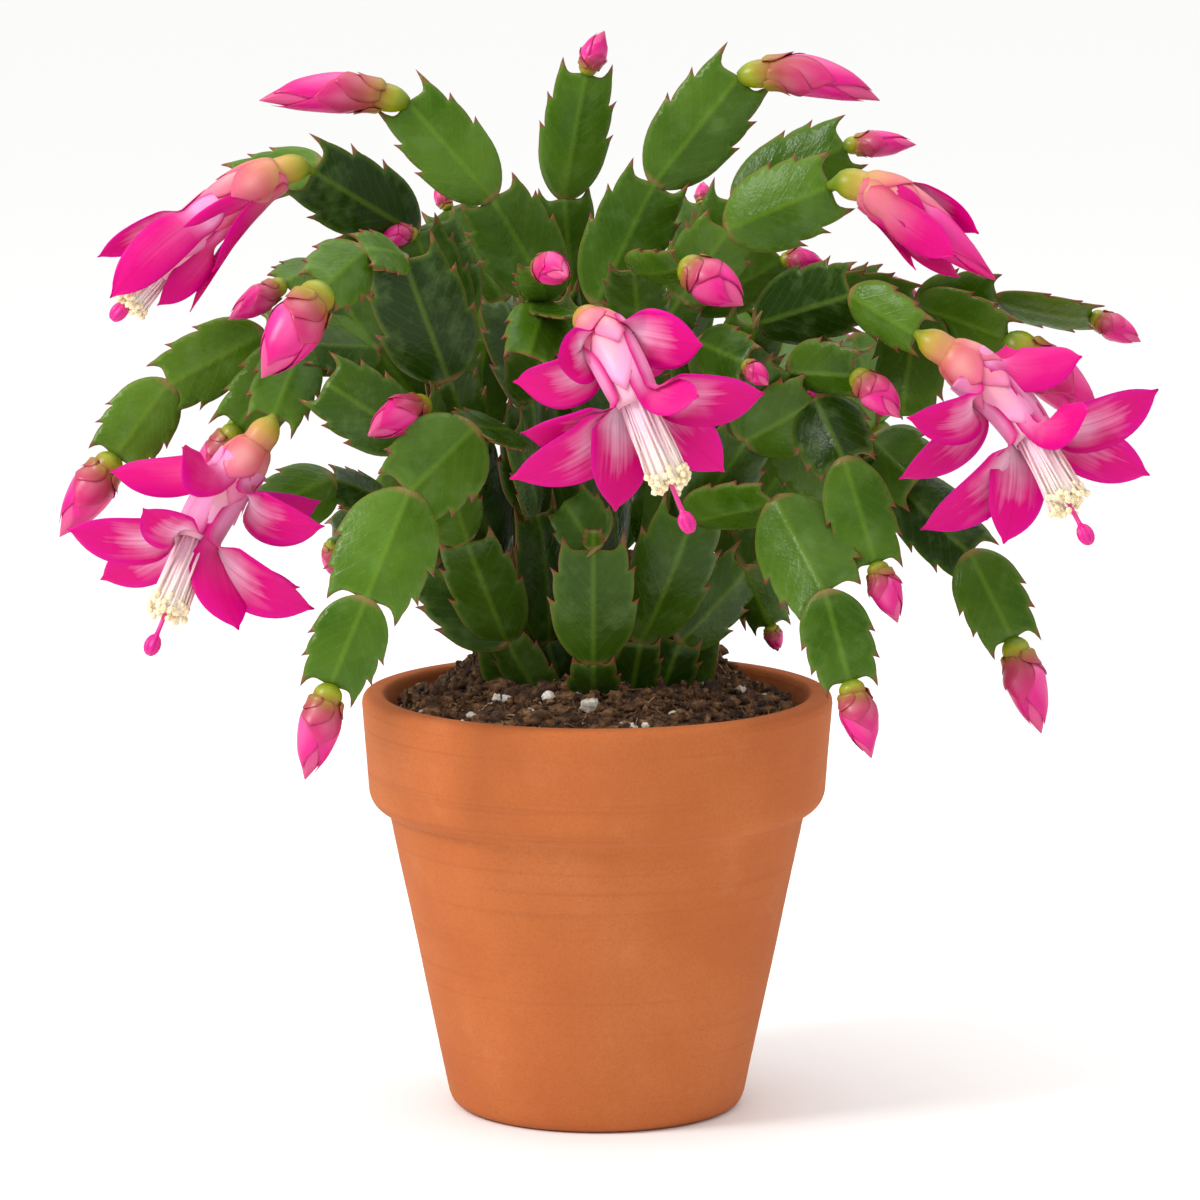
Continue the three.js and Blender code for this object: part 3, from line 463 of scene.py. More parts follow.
# Each stem has its root's place in the soil, as [x, towards the viewer], and its joints in
# order: [the joint it grows from, across, up, towards the viewer, width, turn]. Joint 0 is the
# root.
STEMS = {
    "stem_front": [[-1, 20], [
        [0, -1, 124, 27, 16, 0],
        [1, -1, 156, 35, 24, 0],
        [2, -9, 169, 20, 18, -15],
        [2, -1, 161, 39, 6, 0],
    ]],
    "stem_front_right": [[10, 9], [
        [0, 12, 130, 13, 15, 10],
        [1, 26, 164, 22, 25, 15],
        [2, 49, 169, 44, 22, 50],
        [3, 63, 143, 62, 27, 8],
        [4, 70, 118, 66, 20, 0],
        [2, 41, 186, 30, 22, 20],
        [6, 60, 197, 38, 22, 15],
        [7, 68, 180, 50, 22, 0],
        [8, 77, 151, 56, 19, 0],
        [6, 53, 205, 36, 20, 25],
        [10, 71, 204, 48, 18, 30],
    ]],
    "stem_left_low": [[-18, 3], [
        [0, -25, 130, 6, 15, -20],
        [1, -36, 158, 22, 21, -10],
        [2, -40, 171, 34, 17, 20],
        [3, -50, 186, 40, 22, 10],
        [4, -75, 202, 40, 22, 0],
        [1, -46, 151, 2, 22, 20],
        [6, -58, 169, -12, 22, 10],
        [7, -73, 175, -8, 16, 40],
        [8, -91, 166, 0, 20, 20],
        [7, -73, 158, -34, 18, 30],
    ]],
    "stem_right_low": [[19, 1], [
        [0, 23, 130, 4, 16, 0],
        [1, 41, 150, -8, 22, 35],
        [2, 48, 134, -18, 15, 10],
        [2, 59, 164, -20, 24, 20],
        [4, 81, 175, -6, 22, 20],
        [5, 103, 154, 14, 21, 0],
        [6, 115, 130, 22, 20, 0],
        [4, 76, 186, -10, 22, 10],
        [8, 88, 174, 4, 22, 10],
    ]],
    "stem_centre": [[-11, -7], [
        [0, -14, 130, -6, 15, 0],
        [1, -17, 166, 2, 22, 45],
        [2, -18, 197, 10, 22, 50],
        [3, -14, 224, 34, 20, 30],
        [4, -4, 220, 68, 16, -75],
        [4, -19, 209, 60, 17, 0],
        [4, -16, 234, 58, 15, 0],
        [2, -23, 188, 26, 18, 60],
        [8, -34, 189, 54, 20, 60],
        [9, -52, 171, 66, 27, 0],
        [10, -64, 141, 76, 28, 0],
        [11, -74, 117, 78, 21, 0],
    ]],
    "stem_left_high": [[-8, -16], [
        [0, -9, 153, -14, 18, 0],
        [1, -11, 189, -8, 22, 20],
        [2, -13, 226, 0, 23, 10],
        [3, -29, 253, 6, 24, 0],
        [4, -52, 279, 8, 22, 0],
        [2, -26, 225, -32, 20, 50],
        [6, -41, 250, -44, 20, 10],
    ]],
    "stem_top": [[3, -24], [
        [0, -1, 154, -28, 18, 0],
        [1, -4, 186, -30, 22, 0],
        [2, -6, 219, -32, 22, 0],
        [3, -9, 253, -26, 20, 0],
        [4, -3, 287, -20, 20, 0],
    ]],
    "stem_right_high": [[6, -5], [
        [0, 5, 153, 0, 16, -60],
        [1, 2, 189, 6, 22, 50],
        [2, 0, 224, 8, 23, 0],
        [3, 16, 257, 10, 24, 0],
        [4, 39, 286, 12, 24, 0],
        [2, 12, 211, 16, 22, 10],
        [6, 23, 225, 18, 20, 20],
        [7, 36, 244, 24, 22, 10],
        [8, 64, 256, 34, 24, 0],
        [6, 10, 233, 42, 18, 0],
        [10, 24, 234, 62, 16, 50],
    ]],
    "stem_left_mid": [[-25, -14], [
        [0, -28, 152, -13, 16, 0],
        [1, -35, 182, 6, 22, 20],
        [2, -41, 203, 34, 20, 30],
        [3, -53, 236, 46, 27, 0],
        [4, -64, 238, 60, 16, 50],
        [5, -75, 228, 76, 19, 0],
        [4, -72, 239, 40, 14, 60],
        [2, -47, 196, 44, 15, 20],
        [2, -39, 216, -2, 22, 50],
        [9, -50, 243, 0, 22, 15],
        [10, -78, 260, 22, 24, 0],
        [10, -76, 262, -12, 16, 20],
        [12, -100, 257, -14, 18, 40],
        [9, -46, 246, -18, 22, 0],
    ]],
    "stem_left_side": [[-17, -26], [
        [0, -25, 154, -24, 18, 55],
        [1, -41, 186, -12, 22, 50],
        [2, -61, 211, 4, 22, 10],
        [3, -81, 212, 22, 20, 45],
        [4, -89, 192, 40, 19, 0],
        [4, -99, 189, 20, 20, 10],
        [3, -92, 215, 6, 22, 30],
        [7, -118, 201, 14, 21, 0],
        [8, -133, 181, 18, 20, 0],
        [3, -76, 234, -6, 18, 20],
        [10, -86, 229, 6, 14, 30],
    ]],
    "stem_right_mid": [[24, -10], [
        [0, 25, 153, -8, 18, -30],
        [1, 32, 186, 4, 22, -45],
        [2, 44, 218, 16, 22, 10],
        [3, 70, 226, 36, 23, 10],
        [4, 88, 215, 48, 16, 20],
        [3, 62, 224, -2, 18, 45],
        [6, 77, 229, -10, 16, 40],
        [6, 88, 223, 8, 22, 45],
        [8, 110, 225, 12, 20, 30],
        [9, 136, 220, 14, 16, 55],
        [8, 113, 214, 20, 20, 35],
        [2, 28, 213, 24, 20, 0],
        [12, 41, 207, 44, 16, 0],
        [8, 84, 192, 14, 22, 20],
        [12, 51, 192, 6, 22, 15],
        [15, 68, 172, -2, 24, 10],
    ]],
    "stem_right_back": [[10, -30], [
        [0, 13, 156, -34, 18, 0],
        [1, 18, 189, -40, 22, -60],
        [2, 27, 222, -40, 22, 45],
        [3, 38, 252, -32, 22, 10],
        [4, 68, 267, -26, 22, 0],
        [3, 51, 236, -26, 18, 20],
        [3, 29, 251, -60, 20, 35],
        [2, 45, 204, -56, 22, -60],
        [8, 70, 214, -66, 22, -50],
        [9, 78, 190, -78, 20, -30],
        [8, 40, 222, -70, 22, 60],
        [11, 42, 216, -82, 20, 40],
    ]],
    "stem_back": [[-2, -42], [
        [0, -4, 152, -46, 18, 70],
        [1, -6, 184, -50, 22, -60],
        [2, -4, 214, -54, 23, 40],
        [3, 2, 238, -64, 22, 40],
        [4, 4, 226, -80, 20, 20],
        [3, -30, 228, -66, 22, 60],
        [6, -44, 206, -82, 20, 35],
        [2, -4, 188, -76, 20, 60],
        [8, -10, 166, -90, 19, 35],
        [2, 18, 176, -58, 22, 15],
        [10, 38, 160, -56, 22, 10],
        [11, 46, 138, -52, 20, 15],
        [1, 8, 170, -47, 20, 0],
        [11, 53, 181, -62, 20, 10],
    ]],
    "stem_back_left": [[-22, -40], [
        [0, -28, 152, -43, 18, 60],
        [1, -38, 180, -52, 22, -60],
        [2, -56, 206, -58, 22, 45],
        [3, -82, 214, -70, 22, 40],
        [4, -98, 192, -82, 20, 25],
        [2, -46, 184, -78, 22, -60],
        [6, -58, 161, -90, 20, -35],
        [3, -66, 236, -54, 20, 60],
        [1, -44, 168, -40, 22, 15],
        [9, -38, 142, -52, 20, 30],
        [2, -30, 214, -46, 22, 10],
        [1, -23, 177, -48, 20, 0],
    ]],
}


def facing(at, along, turn=0, viewer=EYE):
    look = (viewer - at).normalized()
    normal = (look - along * look.dot(along)).normalized()
    return Quaternion(along, math.radians(turn)) @ normal


def cubic(a, b, c, d, steps):
    """Points of one arched edge, without its first point."""
    points = []
    for i in range(1, steps + 1):
        t = i / steps
        weights = ((1 - t) ** 3, 3 * t * (1 - t) ** 2, 3 * t * t * (1 - t), t ** 3)
        points.append(tuple(sum(w * p[k] for w, p in zip(weights, (a, b, c, d))) for k in (0, 1)))
    return points


def segment_edge(index, foot, hand):
    """One edge of a segment from foot to the middle of its end, and its tooth tips."""
    first = 0.03 * wobble(index, 1) + 0.012 * wobble(index, 8 + hand)
    second = 0.03 * wobble(index, 2) + 0.012 * wobble(index, 10 + hand)
    size = 1 + 0.4 * wobble(index, 12 + hand)
    horn = 0.105 * (1 + 0.35 * wobble(index, 14 + hand))
    tooth_1 = (0.985 + 0.055 * size, 0.55 + first + 0.015 * size)
    notch_1 = (0.86, 0.525 + first)
    tooth_2 = (0.905 + 0.06 * size, 0.815 + second + 0.015 * size)
    notch_2 = (0.78, 0.785 + second)
    tip = (0.69, 1.0 + horn)
    edge = [(foot, 0)]
    edge += cubic((foot, 0), (max(foot, 0.5), 0.04), (0.9, 0.2), (0.95, 0.4 + first), 9)
    edge += [(0.975, 0.46 + first), (0.995, 0.515 + first), tooth_1, (0.93, 0.538 + first), notch_1]
    edge += cubic(notch_1, (0.9, 0.56 + first), (0.94, 0.65), (0.91, 0.73 + second), 6)
    edge += [(0.922, 0.775 + second), tooth_2, (0.85, 0.798 + second), notch_2]
    edge += cubic(notch_2, (0.81, 0.84 + second), (0.785, 0.92), (0.745, 0.97), 6)
    edge += [(0.725, 1.0 + 0.35 * horn), tip, (0.6, 1.0 + 0.22 * horn), (0.52, 0.985)]
    edge += cubic((0.52, 0.985), (0.42, 0.95), (0.25, 0.98), (0.0, 0.985), 6)
    return edge, [tooth_1, tooth_2, tip]


def gap_to_outline(spots, ring):
    """How far each spot in a segment's plane is from its outline."""
    line = np.roll(ring, -1, axis=0) - ring
    to_line = spots[:, None, :] - ring[None, :, :]
    share = np.clip((to_line * line).sum(2) / (line ** 2).sum(1), 0, 1)
    return np.sqrt(((to_line - share[..., None] * line) ** 2).sum(2)).min(1)


def is_inside(spots, ring):
    """Whether each spot lies within the outline, by how often a line to one side crosses it."""
    ahead = np.roll(ring, -1, axis=0)
    line = ahead - ring
    crossed = (ring[None, :, 1] > spots[:, None, 1]) != (ahead[None, :, 1] > spots[:, None, 1])
    rise = np.where(line[:, 1] == 0, 1e-9, line[:, 1])
    meets = ring[None, :, 0] + (spots[:, None, 1] - ring[None, :, 1]) * line[:, 0] / rise
    return (crossed & (spots[:, None, 0] < meets)).sum(1) % 2 == 1


def add_segment(start, to, width, turn, index, foot, mass, shade):
    """One segment: its outline is filled with points, and both faces swell from the same sheet."""
    points, faces, values = mass
    along = (to - start).normalized()
    length = (to - start).length
    normal = facing(start, along, turn)
    side = along.cross(normal)
    half = width / 2
    right, right_tips = segment_edge(index, foot, 0)
    left, left_tips = segment_edge(index, foot, 1)
    outline = [(x * half, y * length) for x, y in right]
    outline += [(-x * half, y * length) for x, y in reversed(left[:-1])]
    tips = [(x * half, y * length) for x, y in right_tips]
    tips = np.array(tips + [(-x * half, y * length) for x, y in left_tips])
    ring = np.array(outline)

    grid = []
    rows = int(length / (GRID * GRID_ROW)) + 1
    for row in range(1, rows + 1):
        y = row * GRID * GRID_ROW
        for column in range(-10, 11):
            grid.append(((column + 0.5 * (row % 2)) * GRID, y))
    spots = np.array([p for p in grid if abs(p[0]) < half * 1.1])
    kept = spots[is_inside(spots, ring) & (gap_to_outline(spots, ring) > 0.55 * GRID)]
    flat = [Vector(p) for p in outline] + [Vector(p) for p in kept]
    spread, _, triangles, _, _, _ = delaunay_2d_cdt(flat, [], [list(range(len(outline)))], 1, 1e-6)
    plane = np.array([tuple(p) for p in spread])
    depth = gap_to_outline(plane, ring)
    near_tip = np.sqrt(((plane[:, None, :] - tips[None]) ** 2).sum(2)).min(1)

    bow = 0.05 * length * wobble(index, 4)
    cup = 0.04 * width * wobble(index, 5)
    fold = 0.1 + 0.18 * wobble(index, 19)
    ripple = 0.3 * wobble(index, 16)
    thickness = RIB * min(1, width / 14)
    count = len(spread)
    base = len(points)
    for hand in (1, -1):
        for k, (x, y) in enumerate(plane):
            across = x / half
            up = y / length
            flesh = min(1, depth[k] / (0.55 * half))
            height = EDGE + (0.8 * thickness - EDGE) * math.sin(flesh * math.pi / 2)
            height += 0.32 * thickness * math.exp(-(x / 0.9) ** 2) * min(1, 5 * up, 6 * (1.05 - up))
            lift = 4 * bow * up * (1 - up) - cup * across * across - fold * (math.hypot(x, 0.8) - 0.8)
            lift += ripple * abs(across) ** 2 * math.sin(9 * up + 5 * wobble(index, 17))
            points.append(start + along * y + side * x + normal * (hand * height + lift))
            values["across"].append(x)
            values["along"].append(y)
            values["rim"].append(depth[k])
            values["tip"].append(near_tip[k])
            values["shade"].append(shade)
    for a, b, c in triangles:
        faces.append((base + a, base + b, base + c))
        faces.append((base + count + c, base + count + b, base + count + a))
    edge = len(outline)
    for i in range(edge):
        j = (i + 1) % edge
        faces.append((base + j, base + i, base + count + i, base + count + j))


leafy, tree, shader = new_material("leafy_stem")
up = given(tree, "along")
rim = given(tree, "rim")
width = maths(tree, "ABSOLUTE", given(tree, "across"))
cloud = span(tree, grain(tree, 45, 3, 0.55), 0.32, 0.68)
leaf_colour = mix(tree, cloud, rgb(57, 92, 8), rgb(85, 119, 30))
# Painted shade: a segment's shade value darkens its green towards a deep green.
leaf_colour = mix(tree, span(tree, given(tree, "shade"), 0, 1, 0, 0.9), leaf_colour, rgb(20, 44, 1))
# Grey-green patches over the green: partly the skin's waxy bloom, partly painted sheen.
wax_bloom_and_sheen = span(tree, grain(tree, 120, 4, 0.6), 0.5, 0.72)
leaf_colour = tint(tree, leaf_colour, wax_bloom_and_sheen, 0.3, rgb(108, 138, 76))
leaf_colour = tint(tree, leaf_colour, span(tree, width, 0.25, 1.1, 1, 0), 0.26, rgb(118, 152, 44))
# Faint side veins leave the midrib and sweep forward; the skin between them is dimpled.
sweep = maths(tree, "SUBTRACT", up, maths(tree, "MULTIPLY", width, 1.25))
bent = maths(tree, "ADD", sweep, maths(tree, "MULTIPLY", grain(tree, 160, 2), 3.2))
vein = span(tree, maths(tree, "SINE", maths(tree, "MULTIPLY", bent, 1.45)), 0.8, 1)
leaf_colour = tint(tree, leaf_colour, vein, 0.05, rgb(120, 156, 60))
# The edge is paler, then red-brown over an uneven width, as are the tips of teeth and horns.
leaf_colour = tint(tree, leaf_colour, span(tree, rim, 0.3, 1.6, 1, 0), 0.3, rgb(104, 136, 48))
rim_width = span(tree, grain(tree, 75, 2), 0.3, 0.7, 0.02, 0.34)
near_rim = span(tree, maths(tree, "DIVIDE", rim, rim_width), 0.3, 1.2, 1, 0)
leaf_colour = tint(tree, leaf_colour, near_rim, 0.75, rgb(128, 80, 50))
near_tip = span(tree, given(tree, "tip"), 0.5, 2.1, 1, 0)
ends = maths(tree, "MULTIPLY", near_tip, span(tree, rim, 0.3, 1.3, 1, 0.05))
leaf_colour = mix(tree, ends, leaf_colour, rgb(122, 58, 46))
# The foot of each segment is corky.
leaf_colour = tint(tree, leaf_colour, span(tree, up, 0.6, 2.4, 1, 0), 0.7, rgb(146, 112, 72))
leather = bump(tree, grain(tree, 1500, 2), 0.00016, 0.35)
leather = bump(tree, vein, 0.0003, 0.12, leather)
plug(tree, shader, {
    "Base Color": leaf_colour, "Roughness": span(tree, grain(tree, 90, 3), 0.3, 0.7, 0.22, 0.36),
    "Specular IOR Level": 0.17, "Normal": bump(tree, grain(tree, 620, 2, 0.5), 0.0005, 0.32, leather),
})

# Segments with more painted shade, darker than their neighbours: (stem, row in its table)
SHADED_SEGMENTS = [
    ("stem_left_mid", 4), ("stem_front_right", 8), ("stem_left_low", 8), ("stem_left_low", 10),
    ("stem_right_mid", 4), ("stem_left_mid", 11), ("stem_right_low", 5), ("stem_right_low", 6),
]
joints = {}
segment_index = 0
for name, ((root_x, root_near), rows) in STEMS.items():
    places = [Vector((root_x, -root_near, soil_height(root_x, -root_near) + ROOT_RISE))]
    headings = [Vector((0, 0, 1))]
    mass = new_mass("across", "along", "rim", "tip", "shade")
    for row, (parent, across, up, near, width, turn) in enumerate(rows, 1):
        segment_index += 1
        to = seen(across, up, near)
        heading = (to - places[parent]).normalized()
        is_first = parent == 0
        start = places[parent] - heading * (ROOT_DEPTH if is_first else JOINT_LAP)
        middle = (start + to) / 2
        # Painted shade: segments are a darker green towards the middle of the plant, where less light
        # reaches, with some random variation in tone.
        from_core = math.hypot(middle.x / 75, middle.y / 60, max(0, middle.z - 190) / 60)
        # The listed segments get the most painted shade.
        shade = 1.05 - 0.75 * from_core + 0.3 * wobble(segment_index, 18) + ((name, row) in SHADED_SEGMENTS)
        shade = min(1, max(0, shade))
        foot = 0.7 if is_first else 0.13
        add_segment(start, to, width, turn, segment_index, foot, mass, shade)
        headings.append(heading)
        places.append(to)
    joints[name] = (places, headings)
    make_piece(name + "_leaves", mass, leafy, name)

# The buds
# Closed flower buds on the tips of the stems, the largest nearly ready to open. Each has a
# green-yellow ovary, pointed salmon sepals that lie over each other, and a furled magenta tip.

BUD_SEAT = -1

# [stem, joint, tip across, tip up, tip towards the viewer, width]
BUDS = {
    "bud_01": ["stem_left_high", 5, -92, 279, 14, 11.6],
    "bud_02": ["stem_top", 5, 2, 298, -18, 7.7],
    "bud_03": ["stem_right_high", 5, 77, 279, 16, 11.6],
    "bud_04": ["stem_right_back", 5, 87, 267, -22, 7.7],
    "bud_05": ["stem_left_side", 11, -101, 219, 14, 8.3],
    "bud_06": ["stem_left_mid", 6, -92, 203, 88, 15],
    "bud_07": ["stem_left_side", 9, -148, 159, 22, 12.4],
    "bud_08": ["stem_left_side", 6, -112, 170, 18, 10.5],
    "bud_09": ["stem_right_back", 10, 74, 166, -88, 12],
    "bud_10": ["stem_centre", 7, -8, 231, 80, 9],
    "bud_11": ["stem_right_high", 11, 40, 223, 74, 12.5],
    "bud_12": ["stem_left_mid", 8, -63, 187, 62, 10.4],
    "bud_13": ["stem_right_mid", 7, 88, 226, -8, 6],
    "bud_14": ["stem_right_mid", 10, 149, 213, 18, 7.7],
    "bud_15": ["stem_front_right", 11, 83, 192, 58, 9.7],
    "bud_16": ["stem_right_mid", 11, 138, 190, 24, 14],
    "bud_17": ["stem_front_right", 9, 83, 135, 60, 9],
    "bud_18": ["stem_front_right", 5, 76, 97, 68, 10.5],
    "bud_19": ["stem_right_low", 7, 123, 104, 26, 11.6],
    "bud_20": ["stem_centre", 12, -81, 91, 82, 11.6],
    "bud_21": ["stem_back", 7, -50, 181, -92, 11],
    "bud_22": ["stem_back", 9, -12, 143, -96, 10],
    "bud_23": ["stem_back_left", 5, -100, 162, -88, 12],
    "bud_24": ["stem_back_left", 7, -62, 139, -97, 9],
}

# The smallest buds are still part of their stems.
TINY_BUDS = [
    ["stem_left_mid", 10, -59, 239, 12, 6.5],
    ["stem_right_back", 6, 62, 235, -22, 6.5],
    ["stem_right_mid", 13, 47, 201, 50, 6],
    ["stem_right_low", 3, 50, 127, -20, 5.5],
    ["stem_left_low", 10, -73, 148, -38, 6],
    ["stem_left_high", 7, -44, 256, -46, 5],
    ["stem_right_back", 7, 29, 257, -64, 5],
]

BUD_PROFILE = [
    (0, 0.14), (0.05, 0.26), (0.12, 0.345), (0.24, 0.365), (0.34, 0.38), (0.5, 0.48), (0.76, 0.36),
    (0.93, 0.13), (1, 0.01),
]
# Sheathing sepals in pairs: [where it starts, its length, half the angle it covers]
BUD_SEPALS = [(0.2, 0.2, 58), (0.23, 0.32, 64), (0.26, 0.44, 66)]
# Furled petals: [where it starts, its length, half the angle it covers, the way it faces]
BUD_PETALS = [(0.34, 0.6, 84, 20), (0.36, 0.56, 76, 150), (0.38, 0.5, 66, 265)]
BUD_GIRTH = 0.93
BUD_ROWS = 26
BUD_SIDES = 22
# How wide a sheathing sepal or furled petal is along its length
SHEATH_EDGE = [(0, 0.85), (0.35, 1), (0.7, 0.72), (0.92, 0.22), (1, 0.02)]
SHEATH_ROWS = 14
SHEATH_COLUMNS = 11


def smooth_through(knots, at):
    """A value read off a smooth line through knots of (place, value)."""
    for k in range(len(knots) - 1):
        (x0, y0), (x1, y1) = knots[k], knots[k + 1]
        if at <= x1 or k == len(knots) - 2:
            before = knots[max(0, k - 1)]
            after = knots[min(len(knots) - 1, k + 2)]
            slope_0 = (y1 - before[1]) / (x1 - before[0])
            slope_1 = (after[1] - y0) / (after[0] - x0)
            span_x = x1 - x0
            t = min(1, max(0, (at - x0) / span_x))
            return ((2 * t ** 3 - 3 * t * t + 1) * y0 + (t ** 3 - 2 * t * t + t) * span_x * slope_0
                    + (3 * t * t - 2 * t ** 3) * y1 + (t ** 3 - t * t) * span_x * slope_1)


def bezier(controls, t):
    spots = list(controls)
    while len(spots) > 1:
        spots = [a.lerp(b, t) for a, b in zip(spots, spots[1:])]
    return spots[0]


def tangent(controls, t):
    return (bezier(controls, min(1, t + 0.01)) - bezier(controls, max(0, t - 0.01))).normalized()


def two_sided(faces, base, rows, columns):
    """One closed sheet of a front grid of points and a back grid that follows it."""
    back = rows * columns
    grid_faces(faces, base, rows, columns, False)
    grid_faces(faces, base + back, rows, columns, False, True)
    loop = [row * columns for row in range(rows)]
    loop += [back - columns + column for column in range(1, columns)]
    loop += [row * columns + columns - 1 for row in range(rows - 2, -1, -1)]
    loop += range(columns - 2, 0, -1)
    for a, b in zip(loop, loop[1:] + loop[:1]):
        faces.append((base + a, base + b, base + back + b, base + back + a))


def turned_body(controls, reference, profile, girth):
    """The skin of a turned body on a bent axis: at(place, angle, lift) is a point of it."""
    def at(place, angle, lift):
        place = min(place, 1)
        heading = tangent(controls, place)
        side = reference.cross(heading).normalized()
        upward = heading.cross(side)
        radius = smooth_through(profile, place) * girth + lift
        spot = bezier(controls, place) + side * (radius * math.cos(angle))
        return spot + upward * (radius * math.sin(angle))
    return at


def add_skin(at, stations, sides, mass, tone, furled_from):
    """The body's own skin in closed rows, with its ends closed. Its far part is furled petal."""
    points, faces, values = mass
    base = len(points)
    for place, lift in stations:
        for i in range(sides):
            points.append(at(place, 2 * math.pi * i / sides, lift))
            values["along"].append(place)
            values["rim"].append(1)
            values["tone"].append(tone)
            values["inner"].append(1 if place > furled_from else 0)
    grid_faces(faces, base, len(stations), sides, True)
    end_caps(faces, base, len(stations), sides)


def sheath(at, begin, length, middle, half_angle, thick, mass, tone, lift, flare, inner=0):
    """A pointed sepal, or an inner, furled petal, that hugs a turned body."""
    points, faces, values = mass
    base = len(points)
    for hand in (1, 0):
        for row in range(SHEATH_ROWS):
            v = row / (SHEATH_ROWS - 1)
            outline = smooth_through(SHEATH_EDGE, v)
            for column in range(SHEATH_COLUMNS):
                u = 2 * column / (SHEATH_COLUMNS - 1) - 1
                angle = math.radians(middle + half_angle * outline * u)
                shed = lift * (0.75 + 0.25 * v) * min(1, 0.3 + 6 * v) + flare * v ** 4
                shed += hand * thick * (1 - 0.75 * u * u) * (1 - 0.6 * v) * min(1, 0.2 + 5 * v)
                points.append(at(begin + length * v, angle, shed))
                values["along"].append(begin + length * v)
                values["rim"].append(min(1, (1 - abs(u)) * outline * 1.1, (1 - v) * 2.4))
                values["tone"].append(tone)
                values["inner"].append(inner)
    two_sided(faces, base, SHEATH_ROWS, SHEATH_COLUMNS)


def add_bud(row, index, mass):
    stem, joint, across, up, near, width = row
    places, headings = joints[stem]
    leaves = headings[joint]
    tip = seen(across, up, near)
    start = places[joint] + leaves * BUD_SEAT
    length = (tip - start).length
    along = (tip - start).normalized()
    turned = math.sin(min(along.angle(leaves), math.pi / 2))
    controls = (start, start.lerp(tip, 0.3) + leaves * (0.24 * length * turned), tip)
    at = turned_body(controls, facing(start, along), BUD_PROFILE, width * BUD_GIRTH)
    stations = [(k / (BUD_ROWS - 1), 0) for k in range(BUD_ROWS)]
    add_skin(at, stations, BUD_SIDES, mass, wobble(index, 21), 0.34)
    scale = width / 11
    for k, (begin, reach, half_angle) in enumerate(BUD_SEPALS):
        for turn in (0, 1):
            middle = 137.5 * k + 180 * turn + 40 * wobble(index, 22)
            sheath(at, begin, reach * (1 + 0.12 * wobble(index, 23 + k + turn)), middle, half_angle,
                   0.26 * scale, mass, wobble(index, 30 + k), (0.95 - 0.2 * k) * scale, 0.35 * scale)
    for k, (begin, reach, half_angle, way) in enumerate(BUD_PETALS):
        sheath(at, begin, reach, way + 60 * wobble(index, 26), half_angle, 0.2 * scale, mass,
               wobble(index, 34 + k), (0.45 - 0.13 * k) * scale, 0.1 * scale, 1)


bud_skin, tree, shader = new_material("bud_skin")
along = given(tree, "along")
rim = given(tree, "rim")
inner = given(tree, "inner")
shifted = maths(tree, "ADD", along, maths(tree, "MULTIPLY", given(tree, "tone"), 0.03))
shifted = maths(tree, "ADD", shifted, span(tree, grain(tree, 160, 2), 0.3, 0.7, -0.025, 0.025))
outer_colour = ramp(tree, shifted, [
    (0, rgb(88, 116, 10)), (0.13, rgb(146, 152, 14)), (0.24, rgb(152, 112, 40)),
    (0.34, rgb(164, 68, 64)), (0.5, rgb(190, 48, 98)), (0.74, rgb(214, 14, 120)),
])
inner_colour = ramp(tree, shifted, [
    (0.36, rgb(234, 112, 170)), (0.52, rgb(230, 34, 138)), (0.78, rgb(218, 0, 124)), (1, rgb(186, 0, 100)),
])
bud_colour = mix(tree, inner, outer_colour, inner_colour)
seam_colour = mix(tree, inner, rgb(176, 44, 72), rgb(190, 0, 104))
bud_colour = tint(tree, bud_colour, span(tree, rim, 0.04, 0.22, 1, 0), 0.5, seam_colour)
lit_middle = maths(tree, "MULTIPLY", span(tree, rim, 0.45, 1), span(tree, along, 0.24, 0.4))
bud_colour = tint(tree, bud_colour, lit_middle, 0.14, rgb(250, 180, 196))
plug(tree, shader, {
    "Base Color": bud_colour, "Roughness": 0.36, "Specular IOR Level": 0.4,
    "Subsurface Weight": 0.06, "Subsurface Radius": (1, 0.4, 0.8), "Subsurface Scale": 0.002,
    "Normal": bump(tree, grain(tree, 420, 3), 0.0003, 0.3),
})

for index, (name, row) in enumerate(BUDS.items()):
    mass = new_mass("along", "rim", "tone", "inner")
    add_bud(row, index, mass)
    make_piece(name + "_furled", mass, bud_skin, name)
mass = new_mass("along", "rim", "tone", "inner")
for index, row in enumerate(TINY_BUDS, 40):
    add_bud(row, index, mass)
make_piece("smallest_buds", mass, bud_skin)

# The blooms
# Open flowers that hang from the stems' tips. Each has an ovary, a tube wrapped in sepals, and
# two tiers of broad petals, magenta at the edges and nearly white inside, thin and finely veined.

